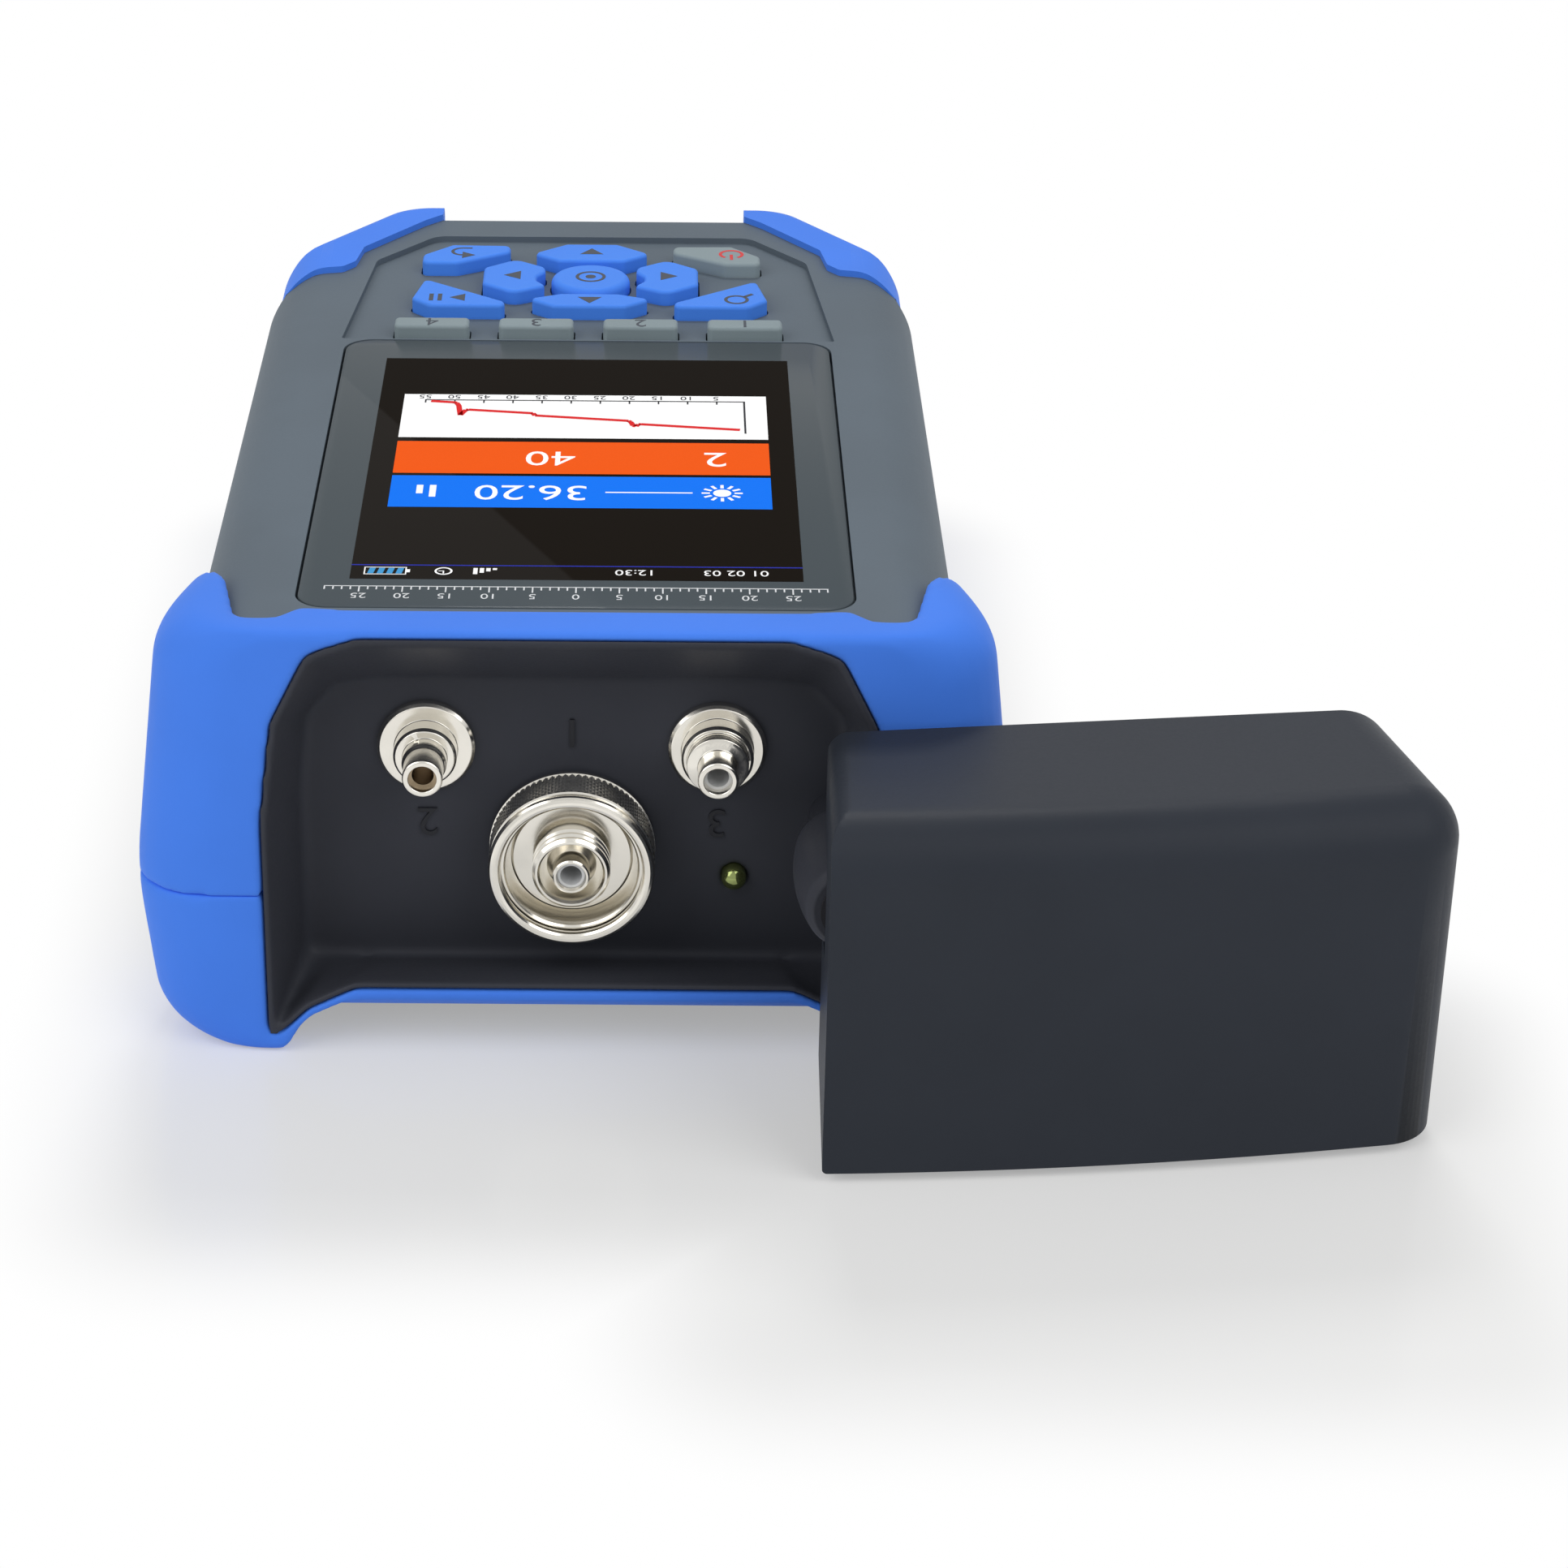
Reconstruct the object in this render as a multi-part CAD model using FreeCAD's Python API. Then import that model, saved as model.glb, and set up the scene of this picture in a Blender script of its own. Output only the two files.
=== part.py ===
"""Handheld fibre test instrument with a swivelling port cover, lying on its back.

Frame: the origin is the centre of the battery door's outer face, which lies in the plane that
the instrument rests on. +X runs across the instrument, +Y from the port end to the base end,
and +Z up through the screen. All lengths are in millimetres.
"""
import FreeCAD, Part
import math
import os

# Body
body_length = 144.0          # port-end plane to the grey base-end face
body_half_width = 47.5       # at the parting line
deck_half_width = 43.6       # where the side line would meet the deck
floor_half_width = 45.2      # where the lower side line would meet the back
deck_height = 54.0
parting_height = 21.0
back_height = 0.9            # grey back above the surface that the rubber stands on
shell_wall = 2.4
shell_start = 4.0            # port-end plane to the first grey edge
shoulder_radius = 8.0
keel_radius = 8.0
port_y = -body_length / 2
base_y = body_length / 2

# Base-end corners, measured at the parting line
corner_side_length = 34.0    # base-end face to where the cut corner's line starts
corner_knee_x = 42.0
corner_knee_length = 17.5
corner_end_x = 25.7
corner_radius = 12.0
base_lean = 1.4              # of the base-end face, at the deck and at the back

# Rubber bumpers
bumper_proud = 0.9           # above the deck and below the back
bumper_side = 4.0            # beyond the body's side at the port end
bumper_front_round = 7.6     # length of its rounded front corners
bumper_front_width = 8.5     # and their width
bumper_reach = 18.0          # port-end plane to the tips of the horns
bumper_flank = 26.0          # port-end plane to the rear edge at mid height
base_bumper_proud = 3.4      # beyond the base-end face
base_bumper_inset = 1.1      # of its sides, within the line of the body's side
bumper_rim_radius = 2.0

# Relief under the port end, between the two feet
arch_height = 7.3
arch_half_width = 26.0
arch_depth = 17.0

# Port bay
bay_half_width = 36.3
bay_top = 54.2
bay_sill = 8.8
bay_lip = 0.9
panel_depth = 10.5           # port-end plane to the panel's face
panel_wall = 2.4
panel_half_width = 32.2
panel_top = 44.4
panel_bottom = 7.4
bay_back_wall = 1.5

# Ports, on the panel
main_port_x = -0.4
main_port_z = 22.9
meter_port_x = -17.4
locator_port_x = 16.5
side_port_z = 35.8
indicator_x = 18.7
indicator_z = 18.6
indicator_radius = 1.5
ferrule_radius = 1.25
running_gap = 0.05
collar_radius = 9.75
collar_length = 7.2
collar_bore_radius = 7.75
collar_hub_radius = 6.0
collar_web = 1.6
knurl_count = 40
knurl_depth = 0.22
barrel_radius = 4.55
barrel_bore_radius = 3.7
nose_radius = 2.15
side_nose_radius = 2.35
nose_bore_radius = 1.6
sleeve_bore_length = 6.0
side_flange_radius = 5.75
main_thread_radius = 5.4     # through the panel
main_port_tail = 6.0         # behind the panel's face
side_thread_radius = 3.4
side_port_tail = 5.5

# Port cover and its pivot. The cover is drawn closed and then turned open.
pivot_x = 31.4
pivot_z = 26.5
pivot_tilt = 3.3             # degrees, so that the open cover stands turned by twice this
cover_open_x = 61.4          # middle of the open cover's rim
cover_open_bottom = 1.3
cover_height = 42.9
cover_bottom = 2 * pivot_z - cover_open_bottom - cover_height
cover_top = cover_bottom + cover_height
cover_centre_x = 2 * pivot_x - cover_open_x
cover_half_width = 36.0      # at the outer end
cover_rim_half_width = 32.7
cover_depth = 26.0
cover_crown = 1.5
cover_wall = 2.0
cover_gap = 2.4              # rim to the port-end plane, at the pivot
cover_edge_radius = 6.5      # of its upper front edge, as it stands open
cover_corner_radius = 6.6    # of its far upright edge
cover_near_radius = 2.4      # of its near upper edge
cover_low_radius = 0.6       # of its lower edges
boss_radius = 6.3
boss_swell = 0.7
boss_foot_radius = 3.4       # where it grows out of the panel
boss_reach = 12.0            # in front of the port-end plane
boss_clearance = 0.5
washer_radius = 4.0
pin_radius = 1.5
pin_head_radius = 2.4
pin_head_height = 1.6
hub_radius = 3.8
hub_length = 4.0

# Window and display
window_half_width = 32.0
window_start = 8.9
window_end = 93.6
window_radius = 3.6
window_thickness = 1.6
window_seam = 0.25
window_ledge = 2.2
window_proud = 0.05
display_half_width = 26.28   # half of 52.56, the short side of a 3.5-inch 3:4 display
display_start = 16.4
display_end = 86.5
display_margin = 2.6
display_thickness = 3.4
gasket_thickness = 0.5
gasket_width = 1.8
frame_thickness = 1.6
frame_border = 2.4           # beyond the display's edge
frame_ear_x = 34.5
frame_ear_inset = 6.5        # frame's end to the middle of its ears
frame_ear_radius = 3.0
frame_boss_radius = 2.4

# Keypad
keypad_depth = 0.8
keypad_plate = 2.4
key_height = 2.0             # above the keypad floor
key_gap = 0.2
key_travel = 0.8
key_flange = 0.4
key_flange_height = 1.0
key_rim_radius = 0.5
ok_key_y = 115.3
ok_key_radius = 5.4
ok_rim_radius = 1.0
mat_thickness = 1.2
mat_clearance = 0.15         # left under a key that is pressed down
keypad_board_thickness = 1.2
keypad_boss_radius = 2.0

# Main board, clamped between the posts of both shells
board_thickness = 1.6
board_start = 23.0
board_edge_gap = 0.8
post_radius = 4.6
post_x = 38.0
post_start = 34.0
post_end = 108.0
frame_rib_start = 9.0        # ribs of the shells that grip the port frame
frame_rib_thickness = 2.0

# Battery and its door
battery_half_width = 26.5
battery_length = 66.0
battery_height = 17.0
battery_gap = 0.6
battery_wall = 1.5
door_half_width = 31.0
door_length = 82.0
door_thickness = 2.0
door_radius = 4.0
door_gap = 0.25
door_screw_inset = 3.6       # door's end to the middle of its screw
door_boss_radius = 3.0

# Screws
screw_radius = 1.5
screw_head_radius = 2.9
screw_head_height = 1.6
screw_sink = 4.0             # back to the seat of a case screw's head
screw_bite = 8.0
small_screw_radius = 1.0
small_screw_head_radius = 2.1
small_screw_head_height = 1.2
small_screw_bite = 3.0
hole_gap = 0.2               # round a screw that passes through
thread_gap = 0.05            # round a screw where it bites
seat_gap = 0.2

# On the main board
module_half_width = 28.0
module_start = 21.0
module_end = 80.0
module_height = 18.0
coil_radius = 21.0
coil_width = 7.0
coil_height = 3.6
pigtail_radius = 0.45
shield_length = 30.0
shield_half_width = 18.0
shield_height = 4.0
buzzer_radius = 6.0
buzzer_height = 5.0
connector_half_width = 9.0
connector_length = 5.0
connector_height = 7.0
nut_thickness = 2.2
main_nut_across = 14.0
side_nut_across = 9.5


def vec(x, y, z):
    """Shorthand for a point or direction."""
    return FreeCAD.Vector(x, y, z)


def along(distance):
    """Y of a point this far behind the port-end plane."""
    return port_y + distance


def rounded_edges(corners, place):
    """Edges of a closed outline whose corners are (a, b, radius), each put in space by place."""
    count = len(corners)
    starts = []
    ends = []
    arcs = []
    for i, (a, b, radius) in enumerate(corners):
        here = vec(a, b, 0)
        before = vec(*corners[i - 1][:2], 0).sub(here)
        after = vec(*corners[(i + 1) % count][:2], 0).sub(here)
        longest = 0.48 * min(before.Length, after.Length)
        before.normalize()
        after.normalize()
        half = math.acos(max(-1.0, min(1.0, before.dot(after)))) / 2
        reach = min(radius / math.tan(half), longest)
        radius = reach * math.tan(half)
        bisector = before + after
        bisector.normalize()
        middle = here + bisector * (radius / math.sin(half) - radius)
        starts.append(here + before * reach)
        ends.append(here + after * reach)
        arcs.append(middle)
    edges = []
    for i in range(count):
        edges.append(Part.Arc(place(starts[i]), place(arcs[i]), place(ends[i])).toShape())
        edges.append(Part.LineSegment(place(ends[i]), place(starts[(i + 1) % count])).toShape())
    return edges


def outline_xz(corners, y):
    """Closed wire in the plane Y = y from (x, z, radius) corners."""
    return Part.Wire(rounded_edges(corners, lambda p: vec(p.x, y, p.y)))


def outline_xy(corners, z):
    """Closed wire in the plane Z = z from (x, y, radius) corners."""
    return Part.Wire(rounded_edges(corners, lambda p: vec(p.x, p.y, z)))


def mirrored(half):
    """Whole outline from its +X half, listed from the top centre round to the bottom centre."""
    return half + [(-a, b, radius) for a, b, radius in reversed(half)]


def grown(corners, amount):
    """Outline corners moved outwards by amount, keeping each side parallel."""
    area = 0.0
    count = len(corners)
    for i in range(count):
        a, b, _ = corners[i]
        c, d, _ = corners[(i + 1) % count]
        area += a * d - c * b
    turn = 1.0 if area > 0 else -1.0
    moved = []
    for i, (a, b, radius) in enumerate(corners):
        before = vec(a - corners[i - 1][0], b - corners[i - 1][1], 0)
        after = vec(corners[(i + 1) % count][0] - a, corners[(i + 1) % count][1] - b, 0)
        before.normalize()
        after.normalize()
        normal_1 = vec(before.y, -before.x, 0) * turn
        normal_2 = vec(after.y, -after.x, 0) * turn
        shift = (normal_1 + normal_2) * (amount / (1 + normal_1.dot(normal_2)))
        convex = (before.x * after.y - before.y * after.x) * turn > 0
        new_radius = max(0.2, radius + amount) if convex else max(0.2, radius - amount)
        moved.append((a + shift.x, b + shift.y, new_radius))
    return moved


def prism_y(corners, start, end):
    """Solid with an XZ outline, between two distances behind the port-end plane."""
    face = Part.Face(outline_xz(corners, along(start)))
    return face.extrude(vec(0, end - start, 0))


def prism_z(corners, low, high):
    """Solid with an XY outline, between two heights."""
    return Part.Face(outline_xy(corners, low)).extrude(vec(0, 0, high - low))


def block(x0, x1, y0, y1, z0, z1):
    """Plain box between two corners, Y counted from the port-end plane."""
    return Part.makeBox(x1 - x0, y1 - y0, z1 - z0, vec(x0, along(y0), z0))


def turned(profile, x, z):
    """Solid of revolution about the line through (x, z) along Y; profile is (distance, radius)."""
    points = [vec(x + radius, along(y), z) for y, radius in profile]
    points.append(points[0])
    face = Part.Face(Part.makePolygon(points))
    return face.revolve(vec(x, 0, z), vec(0, 1, 0), 360)


def rod_z(x, y, radius, low, high):
    """Upright round rod, y counted from the port-end plane."""
    return Part.makeCylinder(radius, high - low, vec(x, along(y), low))


def fuse_all(shapes):
    """One solid from several that touch."""
    result = shapes[0]
    if len(shapes) > 1:
        result = shapes[0].multiFuse(shapes[1:])
    return result.removeSplitter()


def smoothed(shape, radius, wanted):
    """Shape with its wanted edges rounded, wanted being a test on an edge's middle point."""
    edges = [edge for edge in shape.Edges if wanted(edge)]
    return shape.makeFillet(radius, edges)


# Body outlines

def body_section(growth):
    """XZ outline of the grey body, grown outwards."""
    half = [(deck_half_width, deck_height, shoulder_radius),
            (body_half_width, parting_height, 40.0),
            (floor_half_width, back_height, keel_radius)]
    return grown(mirrored(half), growth)


def body_plan(growth, height):
    """XY outline of the grey body with its cut base corners, leaning in away from the parting."""
    if height > parting_height:
        share = (height - parting_height) / (deck_height - parting_height)
        lean = (body_half_width - deck_half_width) * share
    else:
        share = (parting_height - height) / (parting_height - back_height)
        lean = (body_half_width - floor_half_width) * share
    wide = body_half_width + 12.0
    end = base_y - base_lean * share
    half = [(corner_end_x, end, 5.0),
            (corner_knee_x - lean, end - corner_knee_length, corner_radius),
            (corner_knee_x + 8.0 - lean, end - corner_side_length, 20.0),
            (wide, end - corner_side_length - 20.0, 4.0),
            (wide, port_y - 12.0, 1.0)]
    return grown(mirrored(half), growth)


def body_block(growth, start):
    """The grey body as one solid, grown outwards, from a distance behind the port end."""
    levels = [back_height - 6.0, parting_height, deck_height + 6.0]
    plan = Part.makeLoft([outline_xy(body_plan(growth, z), z) for z in levels], True, True)
    section = prism_y(body_section(growth), start, body_length + 10.0)
    return section.common(plan)


def key_shapes():
    """Outline corners of every key, (x, distance from the port end, radius)."""
    shapes = {}
    shapes["key_down"] = mirrored([(3.6, 128.7, 1.0), (7.7, 125.3, 1.2), (7.7, 124.3, 1.2),
                                   (4.6, 121.9, 1.0)])
    shapes["key_up"] = mirrored([(3.9, 108.8, 1.0), (7.8, 107.1, 1.2), (7.8, 106.2, 1.2),
                                 (4.9, 103.9, 1.0)])
    side = [(-10.5, 122.4, 2.0), (-6.3, 119.2, 1.4), (-6.3, 117.4, 1.0), (-7.4, 115.6, 1.0),
            (-7.4, 114.0, 1.0), (-6.3, 112.3, 1.0), (-6.3, 111.7, 1.4), (-10.5, 109.2, 2.0),
            (-14.8, 112.6, 1.2), (-14.8, 118.9, 1.2)]
    back = [(-19.6, 128.1, 1.0), (-11.4, 127.9, 1.0), (-11.4, 125.2, 1.0), (-18.6, 120.8, 1.6),
            (-23.5, 120.8, 1.0), (-23.5, 124.0, 1.2)]
    play = [(-22.9, 113.6, 1.3), (-21.9, 113.6, 1.0), (-11.5, 105.6, 0.9), (-11.5, 103.9, 0.9),
            (-21.6, 103.9, 1.6), (-24.2, 106.6, 1.2)]
    for name, opposite, corners in (("key_right", "key_left", side), ("key_back", "key_power", back),
                                    ("key_play", "key_zoom", play)):
        shapes[name] = corners
        shapes[opposite] = [(-x, y, radius) for x, y, radius in reversed(corners)]
    for number in range(4):
        centre = (number - 1.5) * 13.95
        shapes["key_%d" % (4 - number)] = [(centre - 5.0, 99.3, 0.7), (centre + 5.0, 99.3, 0.7),
                                           (centre + 5.0, 95.9, 0.7), (centre - 5.0, 95.9, 0.7)]
    return shapes


def placed(corners):
    """Corners with Y counted from the port end turned into frame coordinates."""
    return [(x, along(y), radius) for x, y, radius in corners]


def make_keys():
    """Every key with its retaining flange, and the hole that each needs in the shell."""
    keypad_floor = deck_height - keypad_depth
    plate_under = keypad_floor - keypad_plate
    flange_top = plate_under - running_gap
    top = keypad_floor + key_height
    keys = {}
    holes = []
    for name, corners in key_shapes().items():
        outline = placed(corners)
        cap = prism_z(outline, flange_top - 0.1, top)
        cap = smoothed(cap, key_rim_radius, lambda edge: edge.BoundBox.ZMin > top - 0.01)
        flange = prism_z(grown(outline, key_flange), flange_top - key_flange_height, flange_top)
        keys[name] = fuse_all([cap, flange])
        holes.append(prism_z(grown(outline, key_gap), plate_under - 1.0, deck_height + 1.0))
    stem = rod_z(0, ok_key_y, ok_key_radius, flange_top - 0.1, top)
    stem = smoothed(stem, ok_rim_radius, lambda edge: edge.BoundBox.ZMin > top - 0.01)
    flange = rod_z(0, ok_key_y, ok_key_radius + key_flange, flange_top - key_flange_height,
                   flange_top)
    keys["key_ok"] = fuse_all([stem, flange])
    holes.append(rod_z(0, ok_key_y, ok_key_radius + key_gap, plate_under - 1.0, deck_height + 1.0))
    return keys, holes


# Port end

def bay_front():
    """XZ outline of the port bay at the port-end plane."""
    half = [(24.5, bay_top, 2.0), (30.4, bay_top - 2.0, 3.0), (34.7, bay_top - 11.0, 6.0),
            (bay_half_width, bay_top - 24.0, 20.0), (bay_half_width, 2.4, 0.6), (34.6, 2.4, 0.6),
            (31.4, 5.8, 2.5), (25.8, bay_sill, 4.0)]
    return mirrored(half)


def bay_back():
    """XZ outline of the port panel, with one corner for each corner of the front outline."""
    edge = panel_half_width
    half = [(22.0, panel_top, 1.0), (27.6, panel_top - 0.6, 3.0), (edge - 0.9, panel_top - 4.5, 3.0),
            (edge, panel_top - 14.0, 10.0), (edge, panel_bottom + 2.0, 1.0),
            (edge - 1.0, panel_bottom + 0.7, 0.5), (edge - 3.0, panel_bottom + 0.2, 1.0),
            (edge - 8.0, panel_bottom, 1.0)]
    return mirrored(half)


def bay_outer():
    """Outside of the port frame, which the shells and bumpers close round."""
    front = outline_xz(bay_front(), along(0.0))
    rear = outline_xz(grown(bay_back(), bay_back_wall), along(panel_depth + panel_wall))
    return Part.makeLoft([front, rear], True, True)


def make_port_frame(outer, port_holes):
    """Black tray whose walls flare from the panel to the port end."""
    mouth = outline_xz(grown(bay_front(), -bay_lip), along(-0.01))
    floor = outline_xz(bay_back(), along(panel_depth))
    tray = outer.cut(Part.makeLoft([mouth, floor], True, True))
    return tray.cut(fuse_all(port_holes))


def bumper_corners(side, proud):
    """XZ corners round the body: side beyond its sides, proud above deck and below back."""
    half = [(deck_half_width + side, deck_height + proud, shoulder_radius - 1.0),
            (body_half_width + side, parting_height, 40.0),
            (floor_half_width + side, back_height - proud, keel_radius)]
    return mirrored(half)


def bumper_section(side, proud, start):
    """Outline of the bumper's corners at a distance behind the port end."""
    return outline_xz(bumper_corners(side, proud), along(start))


def port_bumper_outer():
    """Outer form of the port-end bumper, swelling from the body's side to the port end."""
    stations = [(bumper_flank + 2.0, 0.05, bumper_proud),
                (bumper_flank - 6.0, bumper_side * 0.45, bumper_proud),
                (bumper_flank - 13.0, bumper_side * 0.92, bumper_proud),
                (bumper_front_round, bumper_side, bumper_proud)]
    swell = Part.makeLoft([bumper_section(s, p, y) for y, s, p in stations], True, False)
    steps = 6
    outlines = []
    for i in range(steps + 1):
        angle = math.pi / 2 * i / steps
        side = bumper_side - bumper_front_width * (1 - math.cos(angle))
        edge = max(0.0, 1.0 - bumper_front_round * (1 - math.sin(angle)))
        outlines.append(bumper_section(side, bumper_proud - 0.5 * edge,
                                       bumper_front_round * (1 - math.sin(angle))))
    return fuse_all([swell, Part.makeLoft(outlines, True, True)])


def bumper_edge_plan():
    """XY outline that trims the bumper, following its edge on the deck and its horns."""
    half = [(23.0, 6.8, 20.0), (28.6, 7.1, 3.0), (31.4, 7.7, 1.8), (34.0, 4.6, 2.0),
            (38.4, 4.5, 2.2),
            (40.6, bumper_reach - 2.0, 5.0), (43.2, bumper_reach + 1.0, 2.0),
            (body_half_width - 0.5, bumper_flank - 3.0, 4.0), (body_half_width + 9.0, bumper_flank, 2.0),
            (body_half_width + 9.0, -9.0, 1.0)]
    return placed(mirrored(half))


def arch_relief(growth):
    """Space under the port end between the feet, falling away towards the back's middle."""
    half = [(arch_half_width, arch_height, 5.0), (arch_half_width + 5.6, arch_height - 2.8, 2.5),
            (arch_half_width + 9.0, -1.0, 1.0)]
    tunnel = prism_y(grown(mirrored(half), growth), -1.0, arch_depth + 1.0)
    low = back_height - 3.0
    ramp = [vec(-60, along(-2.0), low), vec(-60, along(-2.0), arch_height + growth + 2.0),
            vec(-60, along(0.0), arch_height + growth + 0.01),
            vec(-60, along(3.0), arch_height + growth - 2.2),
            vec(-60, along(arch_depth), back_height + growth), vec(-60, along(arch_depth), low)]
    side = Part.Face(Part.makePolygon(ramp + [ramp[0]]))
    return tunnel.common(side.extrude(vec(120, 0, 0)))


def half_space(upper):
    """Big box above or below the parting line."""
    if upper:
        return block(-90, 90, -40, body_length + 40, parting_height, deck_height + 40)
    return block(-90, 90, -40, body_length + 40, -40, parting_height)


def rounded_levels(low, high, radius):
    """Heights from low to high, each with the inset that rounds the top and bottom edges."""
    steps = 4
    bottom = []
    for i in range(steps + 1):
        angle = math.pi / 2 * i / steps
        bottom.append((low + radius * (1 - math.cos(angle)), radius * (1 - math.sin(angle))))
    return bottom + [(parting_height, 0.0)] + [(low + high - z, inset) for z, inset in reversed(bottom)]


def base_bumpers():
    """The two corner bumpers of the base end."""
    levels = rounded_levels(back_height - bumper_proud, deck_height + bumper_proud,
                            bumper_rim_radius)
    plan = Part.makeLoft([outline_xy(body_plan(base_bumper_proud - inset, z), z)
                          for z, inset in levels], True, True)
    section = prism_y(bumper_corners(-base_bumper_inset, bumper_proud), body_length - 60.0,
                      body_length + 10.0)
    region = [(-21.6, body_length + 9.0, 0.5), (-21.6, 141.6, 0.6), (-24.0, 139.0, 1.0),
              (-32.0, 127.6, 1.5), (-32.8, 121.8, 1.0), (-34.4, 119.6, 1.0), (-38.2, 118.8, 2.0),
              (-41.6, 116.6, 1.0), (-44.6, 118.6, 1.0), (-70.0, 118.6, 1.0),
              (-70.0, body_length + 9.0, 1.0)]
    trim = prism_z(placed(region), -5.0, deck_height + 8.0)
    left = section.common(plan).common(trim).cut(body_block(0.0, shell_start))
    return left, left.mirror(vec(0, 0, 0), vec(1, 0, 0))


# Ports

def make_main_port():
    """Turned parts of the main optical port: body, knurled collar, barrel and ferrule sleeve."""
    face = panel_depth
    web_rear = face - 0.4
    web_front = web_rear - collar_web
    disc_front = web_front - running_gap - 1.6
    body = turned([(face + main_port_tail, 0.0), (face + main_port_tail, main_thread_radius),
                   (face, main_thread_radius), (face, collar_hub_radius),
                   (web_front - running_gap, collar_hub_radius),
                   (web_front - running_gap, collar_bore_radius - 0.6),
                   (disc_front + 0.3, collar_bore_radius - 0.6), (disc_front, collar_bore_radius - 0.9),
                   (disc_front, 0.0)], main_port_x, main_port_z)
    barrel_front = disc_front - 4.2
    nose_front = barrel_front - 0.8
    barrel = turned([(disc_front, 0.0), (disc_front, barrel_radius), (barrel_front + 0.3, barrel_radius),
                     (barrel_front, barrel_radius - 0.3), (barrel_front, barrel_bore_radius),
                     (disc_front - 0.8, barrel_bore_radius),
                     (disc_front - 0.8, nose_radius), (nose_front + 0.2, nose_radius),
                     (nose_front, nose_radius - 0.2), (nose_front, 0.0)], main_port_x, main_port_z)
    key_slot = block(main_port_x - 1.0, main_port_x + 1.0, nose_front, disc_front - 1.2,
                     main_port_z + nose_radius + 0.6, main_port_z + barrel_radius + 1.0)
    sleeve_end = nose_front + 0.5 + sleeve_bore_length
    sleeve_hole = turned([(nose_front - 0.1, 0.0), (nose_front - 0.1, 1.45), (nose_front + 0.5, 1.45),
                          (nose_front + 0.5, nose_bore_radius), (sleeve_end, nose_bore_radius),
                          (sleeve_end, 0.0)], main_port_x, main_port_z)
    body = body.cut(sleeve_hole)
    barrel = barrel.cut(sleeve_hole).cut(key_slot)
    bore = ferrule_radius + 0.02
    sleeve = turned([(nose_front + 0.5, bore), (nose_front + 0.5, nose_bore_radius),
                     (sleeve_end, nose_bore_radius), (sleeve_end, bore)], main_port_x, main_port_z)
    front = web_rear - collar_length
    rim = 0.9
    collar = turned([(web_rear, collar_hub_radius + running_gap), (web_rear, collar_radius - 0.3),
                     (web_rear - 0.3, collar_radius), (web_rear - rim, collar_radius),
                     (web_rear - rim, collar_radius - 0.15), (front + rim, collar_radius - 0.15),
                     (front + rim, collar_radius), (front + 0.3, collar_radius),
                     (front, collar_radius - 0.3), (front, collar_bore_radius + 0.35),
                     (front + 0.5, collar_bore_radius), (web_front, collar_bore_radius),
                     (web_front, collar_hub_radius + running_gap)], main_port_x, main_port_z)
    grooves = []
    for i in range(knurl_count):
        angle = 2 * math.pi * i / knurl_count
        radius = collar_radius - 0.15
        groove = Part.makeCylinder(knurl_depth * 1.6, collar_length - 2 * rim,
                                   vec(main_port_x + radius * math.cos(angle), along(front + rim),
                                       main_port_z + radius * math.sin(angle)), vec(0, 1, 0))
        grooves.append(groove)
    collar = collar.cut(Part.makeCompound(grooves))
    return {"main_port_body": body, "main_port_barrel": barrel, "main_port_collar": collar,
            "main_port_sleeve": sleeve}


def make_side_port(x, shoulder, neck):
    """One of the two small ports: flange, stepped barrel and nose with a ferrule bore."""
    face = panel_depth
    nose_front = 1.3
    profile = [(face + side_port_tail, 0.0), (face + side_port_tail, side_thread_radius),
               (face, side_thread_radius), (face, side_flange_radius),
               (face - 0.9, side_flange_radius), (face - 1.3, side_flange_radius - 0.4),
               (face - 1.3, shoulder), (face - 3.4, shoulder), (face - 3.8, shoulder - 0.3),
               (face - 3.8, neck), (face - 5.4, neck), (face - 5.7, side_nose_radius),
               (nose_front + 0.2, side_nose_radius), (nose_front, side_nose_radius - 0.2), (nose_front, 0.0)]
    port = turned(profile, x, side_port_z)
    bore = ferrule_radius + 0.02
    sleeve_front = nose_front + 1.2
    sleeve_end = sleeve_front + sleeve_bore_length
    hole = turned([(nose_front - 0.1, 0.0), (nose_front - 0.1, nose_bore_radius + 0.05),
                   (sleeve_front, nose_bore_radius), (sleeve_end, nose_bore_radius),
                   (sleeve_end, 0.0)], x, side_port_z)
    sleeve = turned([(sleeve_front, bore), (sleeve_front, nose_bore_radius),
                     (sleeve_end, nose_bore_radius), (sleeve_end, bore)], x, side_port_z)
    return port.cut(hole), sleeve


def hex_nut(x, z, across, hole_radius):
    """Hexagon nut behind the panel."""
    back = panel_depth + panel_wall
    points = []
    for i in range(7):
        angle = math.pi / 3 * i
        points.append(vec(x + across / math.sqrt(3) * math.cos(angle), along(back),
                          z + across / math.sqrt(3) * math.sin(angle)))
    nut = Part.Face(Part.makePolygon(points)).extrude(vec(0, nut_thickness, 0))
    return nut.cut(turned([(back - 1, 0), (back - 1, hole_radius), (back + 4, hole_radius),
                           (back + 4, 0)], x, z))


def make_indicator():
    """Domed lamp in the panel."""
    face = panel_depth
    radius = indicator_radius
    profile = [(face + 4.0, 0.0), (face + 4.0, radius), (face - 0.5, radius)]
    for i in range(1, 6):
        angle = math.pi / 2 * i / 5
        profile.append((face - 0.5 - radius * 0.8 * math.sin(angle), radius * math.cos(angle)))
    return turned(profile, indicator_x, indicator_z)


# Port cover

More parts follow.
